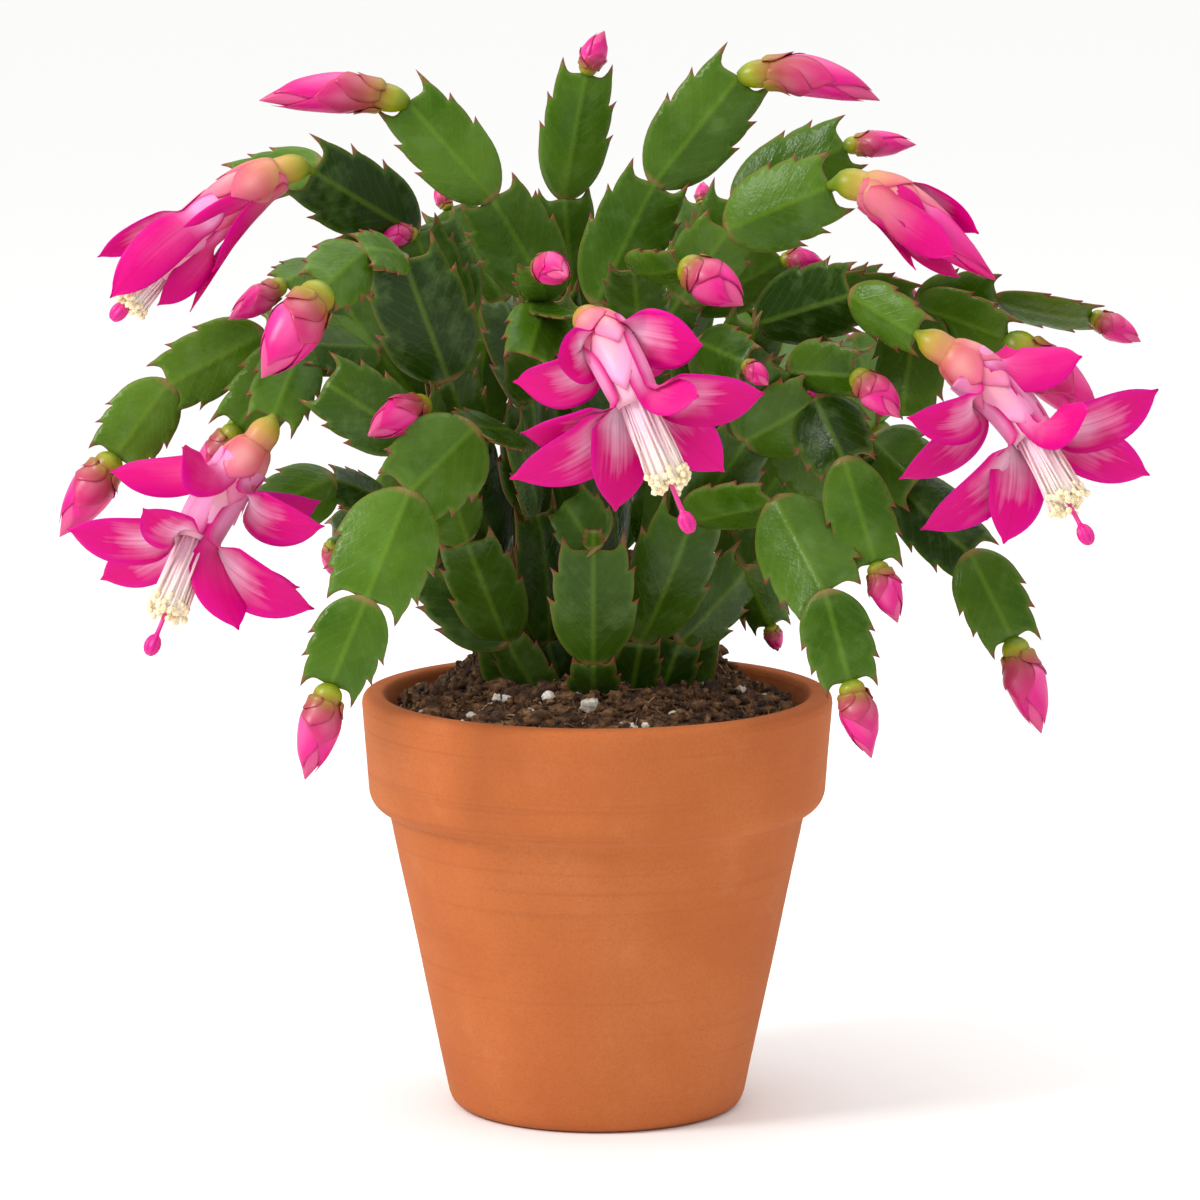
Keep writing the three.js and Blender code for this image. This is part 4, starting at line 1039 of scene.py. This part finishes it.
# The stem and joint a bloom hangs from, the middle of its mouth, the end of its pistil, and its
# petals: [foot's place on the tube, tip across, tip up, tip towards the viewer, width].
BLOOMS = {
    "bloom_left": {
        "on": ["stem_left_side", 5],
        "mouth": [-111, 157, 50],
        "end": [-124, 126, 66],
        "petals": [
            [0.57, -114, 184, 66, 13.5],
            [0.57, -134, 177, 48, 13.5],
            [0.57, -76, 169, 34, 13.5],
            [0.57, -75, 162, 58, 14.5],
            [0.95, -125, 167, 68, 13.5],
            [0.95, -146, 161, 56, 14.5],
            [0.95, -137, 147, 38, 14.5],
            [0.95, -99, 133, 62, 16],
            [0.95, -78, 139, 58, 16],
            [0.95, -82, 145, 36, 14.5],
        ],
    },
    "bloom_centre": {
        "on": ["stem_centre", 5],
        "mouth": [11, 196, 99],
        "end": [26, 160, 108],
        "petals": [
            [0.57, -11, 207, 97, 16],
            [0.57, -23, 202, 80, 14.5],
            [0.57, 29, 212, 96, 16],
            [0.57, 21, 214, 72, 13.5],
            [0.95, -21, 188, 96, 14.5],
            [0.95, -24, 175, 98, 16],
            [0.95, 5, 166, 100, 17],
            [0.95, 35, 177, 90, 16],
            [0.95, 46, 199, 98, 16],
            [0.95, 28, 198, 112, 12],
        ],
    },
    "bloom_right": {
        "on": ["stem_right_mid", 5],
        "mouth": [120, 186, 58],
        "end": [136, 157, 74],
        "petals": [
            [0.57, 133, 209, 60, 14.5],
            [0.57, 85, 192, 66, 14.5],
            [0.57, 83, 175, 50, 13.5],
            [0.57, 112, 212, 36, 13.5],
            [0.95, 154, 200, 62, 16],
            [0.95, 152, 176, 56, 16],
            [0.95, 146, 185, 38, 14.5],
            [0.95, 112, 157, 64, 17],
            [0.95, 89, 161, 66, 14.5],
            [0.95, 135, 194, 80, 13.5],
        ],
    },
    "bloom_half_open": {
        "on": ["stem_left_mid", 11],
        "mouth": [-121, 232, 38],
        "end": [-133, 219, 42],
        "slim": 0.95,
        "petals": [
            [0.34, -116, 241.8, 42, 11],
            [0.34, -106, 245, 24, 11],
            [0.34, -105.3, 232.2, 42, 10],
            [0.5, -111.5, 221.2, 38, 7],
            [0.75, -136.7, 236.3, 34, 9],
            [0.75, -133.3, 225, 48, 13],
            [0.75, -120.5, 223, 42, 10],
            [0.75, -129, 231, 24, 12],
        ],
    },
    "bloom_opening": {
        "on": ["stem_right_high", 9],
        "mouth": [109, 230, 47],
        "end": [119, 222, 49],
        "closed": True,
        "petals": [
            [0.3, 90.6, 247.8, 48, 11],
            [0.3, 85.2, 242.1, 50, 10],
            [0.34, 87.2, 232.7, 44, 6.5],
            [0.3, 88, 246, 30, 11],
            [0.45, 104.3, 242.7, 42, 11],
            [0.45, 98.1, 236.6, 56, 12],
            [0.5, 99.3, 230.7, 42, 9],
        ],
    },
    "bloom_back": {
        "on": ["stem_back", 5],
        "mouth": [6, 196, -98],
        "end": [10, 165, -106],
        "petals": [
            [0.57, 28, 208, -86, 14.5],
            [0.57, 10, 222, -92, 14.5],
            [0.57, -17, 211, -88, 14.5],
            [0.57, -18, 188, -80, 14.5],
            [0.57, 24, 182, -78, 14.5],
            [0.95, 32, 196, -102, 16],
            [0.95, 19, 214, -110, 16],
            [0.95, -6, 212, -110, 16],
            [0.95, -20, 188, -102, 16],
            [0.95, 4, 170, -90, 16],
        ],
    },
    "bloom_back_right": {
        "on": ["stem_right_back", 12],
        "mouth": [50, 199, -92],
        "end": [56, 169, -104],
        "petals": [
            [0.57, 74, 213, -84, 14.5],
            [0.57, 54, 225, -88, 14.5],
            [0.57, 32, 217, -82, 14.5],
            [0.57, 28, 195, -76, 14.5],
            [0.57, 64, 191, -74, 14.5],
            [0.95, 76, 203, -100, 16],
            [0.95, 62, 219, -108, 16],
            [0.95, 40, 219, -107, 16],
            [0.95, 28, 197, -100, 16],
            [0.95, 50, 177, -86, 16],
        ],
    },
}
TUBE_PROFILE = [
    (0, 1.3), (0.05, 1.8), (0.11, 3.5), (0.19, 4.6), (0.28, 4.6), (0.34, 5.2), (0.45, 6.5), (0.7, 6.5),
    (0.9, 6.2), (1, 5.6),
]
CLOSED_PROFILE = [
    (0, 1.3), (0.05, 1.8), (0.11, 3.8), (0.18, 4.7), (0.26, 4.6), (0.32, 5.3), (0.43, 6.6), (0.64, 6.2),
    (0.84, 3.6), (0.96, 1.2), (1, 0.2),
]
TUBE_GIRTH = 0.92
TUBE_ROWS = 28
TUBE_SIDES = 24
# Where the tube's open mouth turns in: (place, how far the wall lies within the outside)
MOUTH_INSIDE = [(0.99, -0.5), (0.95, -0.9), (0.9, -1.6)]
SEAT_GAP = 0.6
PETAL_SHOW = 0.6
PETAL_THICK = 0.36
PETAL_ROWS = 34
PETAL_COLUMNS = 15
WRAP_STEPS = 8
BLADE_STEPS = 30
# How wide a petal is along its wrapped foot, and then along its open blade
FOOT_EDGE = [(0, 0.5), (0.4, 0.8), (0.8, 0.86), (1, 0.82)]
BLADE_EDGE = [(0, 0.82), (0.12, 0.82), (0.3, 0.92), (0.48, 1), (0.63, 1), (0.76, 0.9), (0.86, 0.68),
              (0.93, 0.38), (0.97, 0.13), (1, 0.02)]
# The length of tube that a petal's foot wraps, for the tier at the mouth and for the others
MOUTH_FOOT = 0.4
TUBE_FOOT = 0.12
OVARY_END = 0.28
# A petal that leaves the tube before this place is an outer sepal, and stays wrapped.
SEPALS_END = 0.52
# Sheathing sepals: [where it starts on the tube, its length, how many, half the angle of each]
TUBE_SEPALS = [(0.3, 0.28, 4, 60), (0.32, 0.4, 4, 56), (0.5, 0.46, 3, 72)]
CLOSED_SEPALS = [(0.27, 0.22, 3, 66), (0.29, 0.3, 4, 56), (0.34, 0.4, 4, 54)]
# The younger flowers stay green further up the tube, by this share of it.
GREENER = 0.08
# Furled petals of the closed flower: [where it starts, its length, half the angle, its middle]
CLOSED_PETALS = [(0.42, 0.56, 80, 30), (0.44, 0.53, 74, 150), (0.46, 0.48, 66, 270)]


def bloom_axis(bloom):
    """The line of a bloom's tube, its mouth, the end of its pistil, and the way out of it."""
    stem, joint = bloom["on"]
    places, headings = joints[stem]
    mouth = seen(*bloom["mouth"])
    end = seen(*bloom["end"])
    out = (end - mouth).normalized()
    reach = (mouth - places[joint]).length
    start = places[joint] + headings[joint] * SEAT_GAP
    seat = places[joint] - headings[joint]
    controls = (seat, start + headings[joint] * (0.2 * reach), mouth - out * (0.45 * reach), mouth)
    return controls, mouth, end, out


def petal_path(controls, profile, at, tip, lift):
    """A petal's midline: along the tube, then over and out to its tip. Also its outward way,
    and for each point -1 to 0 on the tube and 0 to 1 beyond it."""
    axis = tangent(controls, at)
    outward = tip - bezier(controls, at)
    outward = (outward - axis * outward.dot(axis)).normalized()
    wrapped = MOUTH_FOOT if at > 0.9 else min(TUBE_FOOT, at - OVARY_END)
    line = []
    marks = []
    for k in range(WRAP_STEPS + 1):
        place = at - wrapped * (1 - k / WRAP_STEPS)
        heading = tangent(controls, place)
        away = (outward - heading * outward.dot(heading)).normalized()
        radius = smooth_through(profile, place) * TUBE_GIRTH + lift
        line.append(bezier(controls, place) + away * radius)
        marks.append(k / WRAP_STEPS - 1)
    leave = line[-1]
    length = (tip - leave).length
    forward = min(1, max(0, ((tip - leave).dot(axis) / length - 0.3) / 0.7))
    spread = 0.8 - 0.6 * forward * forward * (3 - 2 * forward)
    ahead = (axis + outward * (0.44 * spread)).normalized()
    knee = leave + (outward * spread + axis * 0.75).normalized() * (0.45 * length)
    bends = (leave, leave + ahead * (0.16 * length), knee, tip)
    for k in range(1, BLADE_STEPS + 1):
        line.append(bezier(bends, k / BLADE_STEPS))
        marks.append(k / BLADE_STEPS)
    return line, marks, axis, outward


def along_line(line, marks, count):
    """Evenly spaced points of a line, with their marks and headings."""
    steps = [0]
    for a, b in zip(line, line[1:]):
        steps.append(steps[-1] + (b - a).length)
    found = []
    k = 0
    for i in range(count):
        want = steps[-1] * i / (count - 1)
        while k < len(line) - 2 and steps[k + 1] < want:
            k += 1
        t = (want - steps[k]) / (steps[k + 1] - steps[k])
        found.append((line[k].lerp(line[k + 1], t), marks[k] + (marks[k + 1] - marks[k]) * t))
    headings = []
    for i in range(count):
        headings.append((found[min(i + 1, count - 1)][0] - found[max(i - 1, 0)][0]).normalized())
    return [(spot, mark, heading) for (spot, mark), heading in zip(found, headings)]


def tube_profile(bloom):
    if bloom.get("closed"):
        return CLOSED_PROFILE
    return [(place, radius * bloom.get("slim", 1)) for place, radius in TUBE_PROFILE]


def add_petal(controls, profile, at, tip, width, index, viewer, mass):
    lift = 0.25 + 0.22 * (index % 3) + (0.5 if at < 0.9 else 0)
    line, marks, axis, outward = petal_path(controls, profile, at, tip, lift)
    leave = line[WRAP_STEPS]
    chord = (tip - leave).normalized()
    shown = chord.cross(facing(leave, chord, 0, viewer))
    wrap_side = axis.cross(outward).normalized()
    if shown.dot(wrap_side) < 0:
        shown = -shown
    sepal = at < SEPALS_END
    open_side = wrap_side.lerp(shown, 0.25 if sepal else PETAL_SHOW).normalized()
    wrap_bend = 1 / (smooth_through(profile, at - 0.1) * TUBE_GIRTH + lift)
    open_bend = 0.7 * wrap_bend if sepal else 0.8 / width * (1 + 0.6 * wobble(index, 6))
    skew = 0.06 * width * wobble(index, 40)
    frill = 0.5 * wobble(index, 41)
    points, faces, values = mass
    base = len(points)
    stations = along_line(line, marks, PETAL_ROWS)
    for hand in (1, -1):
        for spot, mark, ahead in stations:
            opened = min(1, max(0, mark * 2.6))
            opened = opened * opened * (3 - 2 * opened)
            side = wrap_side.lerp(open_side, opened)
            side = (side - ahead * side.dot(ahead)).normalized()
            normal = side.cross(ahead).normalized()
            curl = wrap_bend + (open_bend - wrap_bend) * opened
            edge = smooth_through(FOOT_EDGE, mark + 1) if mark < 0 else smooth_through(BLADE_EDGE, mark)
            y = max(0, mark)
            for c in range(PETAL_COLUMNS):
                u = 2 * c / (PETAL_COLUMNS - 1) - 1
                x = u * edge
                arc = width / 2 * x
                swing = curl * arc
                thick = PETAL_THICK * (1 - 0.85 * u * u) * (1 - 0.5 * y) * hand
                crease = 0.35 * math.exp(-(x / 0.09) ** 2) * min(1, 3 * y) * (1 - y)
                wave = frill * u * u * y * math.sin(6 * y + 3 * u + index)
                bend = skew * math.sin(math.pi * y)
                points.append(spot + side * (math.sin(swing) / curl + bend)
                              + normal * (thick - (1 - math.cos(swing)) / curl - crease + wave))
                values["along"].append(mark)
                values["across"].append(x)
                values["rim"].append((1 - abs(u)) * edge)
                values["under"].append(1 if hand == 1 else 0)
                values["tone"].append(wobble(index, 42))
                values["sepal"].append(1 if sepal else 0)
    two_sided(faces, base, PETAL_ROWS, PETAL_COLUMNS)


def add_tube(bloom, controls, mass):
    closed = bloom.get("closed")
    reference = facing(controls[0], tangent(controls, 0.5), 20)
    at = turned_body(controls, reference, tube_profile(bloom), TUBE_GIRTH)
    stations = [(k / TUBE_ROWS, 0) for k in range(TUBE_ROWS + 1)]
    stations += [] if closed else MOUTH_INSIDE
    add_skin(at, stations, TUBE_SIDES, mass, 0, 0.4 if closed else 1)
    for k, (begin, reach, count, half_angle) in enumerate(CLOSED_SEPALS if closed else TUBE_SEPALS):
        for i in range(count):
            middle = 360 * i / count + 36 * k + 14 * wobble(i, 43 + k)
            sheath(at, begin, reach * (1 + 0.1 * wobble(i + k, 44)), middle, half_angle,
                   0.3, mass, wobble(i, 45 + k), 0.85 - 0.22 * k + 0.1 * (i % 2), 0.4 if k < 2 else 0)
    for k, (begin, reach, half_angle, middle) in enumerate(CLOSED_PETALS if closed else []):
        sheath(at, begin, reach, middle, half_angle, 0.2, mass, wobble(k, 48), 0.45 - 0.13 * k, 0.1, 1)


petal_skin, tree, shader = new_material("petal_skin")
along = given(tree, "along")
across = given(tree, "across")
rim = given(tree, "rim")
tone = given(tree, "tone")
width = maths(tree, "ABSOLUTE", across)
soft = maths(tree, "MULTIPLY", span(tree, grain(tree, 110, 2), 0.3, 0.7, -1, 1), 0.07)
magenta = mix(tree, span(tree, tone, -1, 1), rgb(200, 0, 108), rgb(216, 0, 122))
# Inside, the pale throat runs out along the midline and fades before the tip.
fan = maths(tree, "DIVIDE", across, span(tree, along, -1, 0.7, 0.5, 1))
rays = node(tree, "CombineXYZ", {
    "X": maths(tree, "MULTIPLY", fan, 9), "Y": maths(tree, "MULTIPLY", along, 1.1),
    "Z": maths(tree, "MULTIPLY", tone, 30),
}).outputs["Vector"]
streak = span(tree, grain(tree, 1, 2, 0.5, rays), 0.3, 0.7, -0.08, 0.08)
pale_across = span(tree, maths(tree, "ADD", width, soft), 0.12, 0.8, 1, 0)
pale_along = span(tree, maths(tree, "ADD", maths(tree, "ADD", along, soft), streak), 0.16, 0.74, 1, 0)
pale = maths(tree, "MULTIPLY", pale_across, pale_along)
inside_colour = tint(tree, magenta, pale, 0.95, rgb(250, 218, 238))
# Outside, the wrapped foot is a paler pink with magenta edges.
foot_pale = maths(tree, "MULTIPLY", span(tree, along, -0.2, 0.22, 1, 0), span(tree, rim, 0.02, 0.26))
outside_colour = mix(tree, foot_pale, rgb(206, 0, 114), rgb(236, 142, 190))
sepal_foot = mix(tree, span(tree, rim, 0.02, 0.3), rgb(196, 40, 90), rgb(212, 98, 106))
sepal_colour = mix(tree, span(tree, along, 0.0, 0.6), sepal_foot, rgb(206, 0, 112))
outside_colour = mix(tree, given(tree, "sepal"), outside_colour, sepal_colour)
outside_colour = tint(tree, outside_colour, pale, 0.16, rgb(244, 170, 210))
petal_colour = mix(tree, given(tree, "under"), inside_colour, outside_colour)
fine_rays = node(tree, "Mapping", {"Vector": rays, "Scale": (2.6, 1, 1)}).outputs["Vector"]
vein = span(tree, grain(tree, 1, 3, 0.6, fine_rays), 0.5, 0.68)
petal_colour = tint(tree, petal_colour, vein, 0.09, rgb(206, 0, 110))
midline = maths(tree, "MULTIPLY", span(tree, width, 0.01, 0.05, 1, 0), span(tree, along, 0.1, 0.5))
petal_colour = tint(tree, petal_colour, midline, 0.35, rgb(190, 0, 96))
satin = bump(tree, grain(tree, 260, 3), 0.0005, 0.25)
plug(tree, shader, {
    "Base Color": petal_colour, "Roughness": 0.45, "Specular IOR Level": 0.13,
    "Subsurface Weight": 0.2, "Subsurface Radius": (1, 0.5, 0.85), "Subsurface Scale": 0.003,
    "Normal": bump(tree, vein, 0.00015, 0.25, satin),
})

tube_skin, tree, shader = new_material("tube_skin")
along = given(tree, "along")
rim = given(tree, "rim")
shifted = maths(tree, "ADD", along, span(tree, grain(tree, 120, 2), 0.3, 0.7, -0.02, 0.02))
tube_colour = ramp(tree, shifted, [
    (0.0, rgb(104, 126, 10)), (0.09, rgb(154, 150, 24)), (0.19, rgb(188, 150, 66)),
    (0.27, rgb(202, 132, 92)), (0.35, rgb(210, 98, 98)), (0.54, rgb(224, 104, 132)),
    (0.68, rgb(232, 132, 176)), (0.9, rgb(238, 160, 202)),
])
scale_edge = span(tree, rim, 0.03, 0.3, 1, 0)
tube_colour = tint(tree, tube_colour, scale_edge, 0.5, rgb(214, 36, 110))
pale_middle = maths(tree, "MULTIPLY", span(tree, rim, 0.4, 0.95), span(tree, along, 0.3, 0.4))
tube_colour = tint(tree, tube_colour, pale_middle, 0.4, rgb(246, 186, 178))
furled = ramp(tree, along, [
    (0.4, rgb(238, 150, 190)), (0.6, rgb(236, 50, 150)), (0.8, rgb(226, 4, 130)), (1, rgb(186, 0, 100)),
])
furled = tint(tree, furled, scale_edge, 0.6, rgb(190, 0, 104))
plug(tree, shader, {
    "Base Color": mix(tree, given(tree, "inner"), tube_colour, furled),
    "Roughness": 0.4, "Specular IOR Level": 0.4,
    "Subsurface Weight": 0.08, "Subsurface Radius": (1, 0.4, 0.6), "Subsurface Scale": 0.002,
    "Normal": bump(tree, grain(tree, 420, 3), 0.0003, 0.3),
})

for name, bloom in BLOOMS.items():
    controls, mouth, _, _ = bloom_axis(bloom)
    viewer = Vector((0, math.copysign(-EYE.y, mouth.y), EYE.z))
    mass = new_mass("along", "across", "rim", "under", "tone", "sepal")
    for index, (at, across, up, near, width) in enumerate(bloom["petals"]):
        add_petal(controls, tube_profile(bloom), at, seen(across, up, near), width, index, viewer, mass)
    make_piece(name + "_open_petals", mass, petal_skin, name + "_petals")
    mass = new_mass("along", "rim", "tone", "inner")
    add_tube(bloom, controls, mass)
    if "slim" in bloom or bloom.get("closed"):
        mass[2]["along"] = [place - GREENER for place in mass[2]["along"]]
    make_piece(name + "_tube", mass, tube_skin, name + "_petals")

# The stamens
# Thin pink-white filaments hang out of each mouth in one dense bundle with a solid core. Each
# ends in a small cream anther that is split along its middle.

FILAMENTS = 64
OUTER_FILAMENTS = 36
FILAMENT_RADIUS = 0.34
FILAMENT_STEPS = 7
FILAMENT_SIDES = 6
COLUMN_RADIUS = 4.1
COLUMN_STEPS = 9
COLUMN_SIDES = 18
# How far inside the mouth the bundle starts
BUNDLE_DEPTH = 3
GOLDEN_TURN = 2.39996
ANTHER_LENGTH = 2.1
ANTHER_ROWS = 7
ANTHER_SIDES = 8


def add_anther(at, tilt, mass):
    points, faces, _ = mass
    side = tilt.orthogonal().normalized()
    up = tilt.cross(side)
    start = len(points)
    for k in range(ANTHER_ROWS):
        fat = math.sin(math.pi * (k + 0.15) / 6.3)
        for s in range(ANTHER_SIDES):
            turn = 2 * math.pi * s / ANTHER_SIDES
            split = 0.78 if s % 4 == 0 else 1
            around = (side * math.cos(turn) * 0.95 + up * math.sin(turn) * 0.8) * fat * split
            points.append(at + tilt * (k / 6 * ANTHER_LENGTH - 0.4) + around)
    grid_faces(faces, start, ANTHER_ROWS, ANTHER_SIDES, True)
    end_caps(faces, start, ANTHER_ROWS, ANTHER_SIDES)


filament, tree, shader = new_material("filament")
filament_colour = ramp(tree, given(tree, "along"), [
    (0, rgb(240, 160, 192)), (0.3, rgb(243, 197, 211)), (1, rgb(245, 228, 216)),
])
plug(tree, shader, {
    "Base Color": filament_colour, "Roughness": 0.4, "Subsurface Weight": 0.2, "Subsurface Scale": 0.001,
    "Normal": bump(tree, grain(tree, 900), 0.0002, 0.2),
})
anther_skin, tree, shader = new_material("anther")
pollen = span(tree, grain(tree, 1500), 0.35, 0.65)
plug(tree, shader, {
    "Base Color": mix(tree, pollen, rgb(236, 218, 168), rgb(254, 244, 212)), "Roughness": 0.8,
    "Normal": bump(tree, grain(tree, 3000), 0.0002, 0.6),
})

for order, (name, bloom) in enumerate(BLOOMS.items()):
    if bloom.get("closed"):
        continue
    _, mouth, end, out = bloom_axis(bloom)
    reach = 0.62 * (end - mouth).length
    reference = facing(mouth, out)
    across_way = out.cross(reference)
    mass = new_mass("along")
    anthers = new_mass()
    core = []
    for k in range(COLUMN_STEPS + 1):
        far = (0.93 * reach + BUNDLE_DEPTH) * k / COLUMN_STEPS - BUNDLE_DEPTH
        core.append((far, 0.9 * (COLUMN_RADIUS + 0.9 * (k / COLUMN_STEPS) ** 1.6)))
    core.append((0.94 * reach, 0.5 * COLUMN_RADIUS))
    tube([mouth + out * far for far, _ in core], [radius for _, radius in core], COLUMN_SIDES, mass)
    mass[2]["along"] += [k / COLUMN_STEPS for k in range(len(core)) for _ in range(COLUMN_SIDES)]
    for i in range(FILAMENTS):
        angle = GOLDEN_TURN * i + 0.3 * wobble(i + order, 50)
        outward = reference * math.cos(angle) + across_way * math.sin(angle)
        inner = max(0, i + 1 - OUTER_FILAMENTS) / (FILAMENTS - OUTER_FILAMENTS)
        spread = 1 - 0.07 * (i % 3) - 0.55 * inner
        foot_radius = COLUMN_RADIUS * spread
        end_radius = (COLUMN_RADIUS + 1.2) * spread + 0.35 * wobble(i + order, 51)
        far = reach * (1.06 - 0.16 * spread + 0.1 * wobble(i + order, 52))
        path = []
        for step in range(FILAMENT_STEPS + 1):
            t = step / FILAMENT_STEPS
            swell = foot_radius + (end_radius - foot_radius) * t ** 1.6 + 0.25 * math.sin(5 * t + i)
            path.append(mouth + out * (-BUNDLE_DEPTH + (far + BUNDLE_DEPTH) * t) + outward * swell)
            mass[2]["along"] += [t] * FILAMENT_SIDES
        tube(path, [FILAMENT_RADIUS] * FILAMENT_STEPS + [FILAMENT_RADIUS - 0.1], FILAMENT_SIDES, mass)
        tilt = (out + outward * 0.5 * wobble(i, 53) + reference * 0.4 * wobble(i, 54)).normalized()
        add_anther(path[-1], tilt, anthers)
    make_piece(name + "_filaments", mass, filament, name + "_stamens")
    make_piece(name + "_anthers", anthers, anther_skin, name + "_stamens")

# The pistils
# A pink style runs down the middle of the stamens and stands out beyond them. Its stigma is
# a hot pink star of lobes, closed to a bud shape.

LOBES = 7
STYLE_RADIUS = 0.62
STYLE_STEPS = 12
# The stigma: (distance from its tip, radius, how deep the grooves between its lobes are)
STIGMA = [
    (6.5, 0.65, 0), (5.9, 0.9, 0.1), (5.2, 1.7, 0.25), (4.2, 2.15, 0.34), (3, 2.3, 0.36),
    (1.8, 2.1, 0.4), (0.8, 1.6, 0.45), (0.1, 0.9, 0.5), (0.3, 0.25, 0.2),
]
pistil_skin, tree, shader = new_material("pistil_skin")
pistil_colour = ramp(tree, given(tree, "along"), [
    (0.3, rgb(240, 130, 180)), (0.8, rgb(226, 14, 140)), (1, rgb(214, 4, 132)),
])
plug(tree, shader, {
    "Base Color": pistil_colour, "Roughness": 0.38, "Subsurface Weight": 0.1, "Subsurface Scale": 0.001,
    "Normal": bump(tree, grain(tree, 2200), 0.0002, 0.5),
})
for name, bloom in BLOOMS.items():
    if bloom.get("closed"):
        continue
    _, mouth, end, out = bloom_axis(bloom)
    length = (end - mouth).length
    reference = facing(mouth, out)
    across_way = out.cross(reference)
    points, faces, values = mass = new_mass("along")
    stations = [(length * (k / STYLE_STEPS) - 2, STYLE_RADIUS, 0) for k in range(STYLE_STEPS - 1)]
    stations = [station for station in stations if station[0] < length - 6.8]
    stations += [(length - back, radius, groove) for back, radius, groove in STIGMA]
    sides = LOBES * 6
    for x, radius, groove in stations:
        for i in range(sides):
            angle = 2 * math.pi * i / sides
            bulge = 1 - groove * (0.5 - 0.5 * abs(math.cos(LOBES * angle / 2))) * 1.3
            outward = reference * math.cos(angle) + across_way * math.sin(angle)
            points.append(mouth + out * x + outward * (radius * bulge))
            values["along"].append(x / length)
    grid_faces(faces, 0, len(stations), sides, True)
    end_caps(faces, 0, len(stations), sides)
    make_piece(name + "_style_and_stigma", mass, pistil_skin, name + "_pistil")

# The studio
# A pale floor that runs far out behind the plant, a white ceiling, soft lights, and the camera.

FLOOR_REACH = 6
corners = [(x * FLOOR_REACH, y * FLOOR_REACH, 0) for x, y in ((-1, -1), (1, -1), (1, 1), (-1, 1))]
floor_mesh = bpy.data.meshes.new("floor")
floor_mesh.from_pydata(corners, [], [(0, 1, 2, 3)])
paper, tree, shader = new_material("pale_floor")
plug(tree, shader, {"Base Color": rgb(248, 248, 247), "Roughness": 0.9})
floor_mesh.materials.append(paper)
floor = bpy.data.objects.new("floor", floor_mesh)
bpy.context.scene.collection.objects.link(floor)

# The white ceiling is brighter than the walls, so the floor comes out white and the plant keeps
# its shadows.
WALL_GREY = (0.3, 0.3, 0.3, 1)
CEILING_WHITE = (1.42, 1.42, 1.42, 1)
world = bpy.data.worlds.new("studio")
world.use_nodes = True
tree = world.node_tree
height = node(tree, "SeparateXYZ", {"Vector": node(tree, "TexCoord", {}).outputs["Generated"]}).outputs["Z"]
glow = mix(tree, span(tree, height, 0, 1), WALL_GREY, CEILING_WHITE)
tree.links.new(glow, tree.nodes["Background"].inputs["Color"])
bpy.context.scene.world = world

# Each light's place, size and power
LIGHTS = {
    "key": ((-0.95, -0.5, 0.9), 0.4, 11),
    "fill": ((1.0, -0.45, 0.6), 0.8, 1),
    "top": ((0.1, 0.3, 1.3), 0.8, 3),
}
LIGHT_AIM = Vector((0, 0, 0.15))
for name, (place, size, power) in LIGHTS.items():
    data = bpy.data.lights.new(name, "AREA")
    data.size = size
    data.energy = power
    light = bpy.data.objects.new(name, data)
    light.location = place
    light.rotation_euler = (LIGHT_AIM - Vector(place)).to_track_quat("-Z", "Y").to_euler()
    bpy.context.scene.collection.objects.link(light)

CAMERA_PITCH = 8.8
SENSOR_WIDTH = 36
# The focal length in pixels of the frame, and the frame's width
FOCAL_PIXELS = 5842
FRAME_WIDTH = 1200
lens = bpy.data.cameras.new("camera")
lens.sensor_width = SENSOR_WIDTH
lens.lens = FOCAL_PIXELS / FRAME_WIDTH * SENSOR_WIDTH
lens.clip_start = 0.05
camera = bpy.data.objects.new("camera", lens)
camera.location = EYE * MM
camera.rotation_euler = (math.radians(90 - CAMERA_PITCH), 0, 0)
bpy.context.scene.collection.objects.link(camera)
bpy.context.scene.camera = camera
bpy.context.scene.view_settings.view_transform = "Standard"
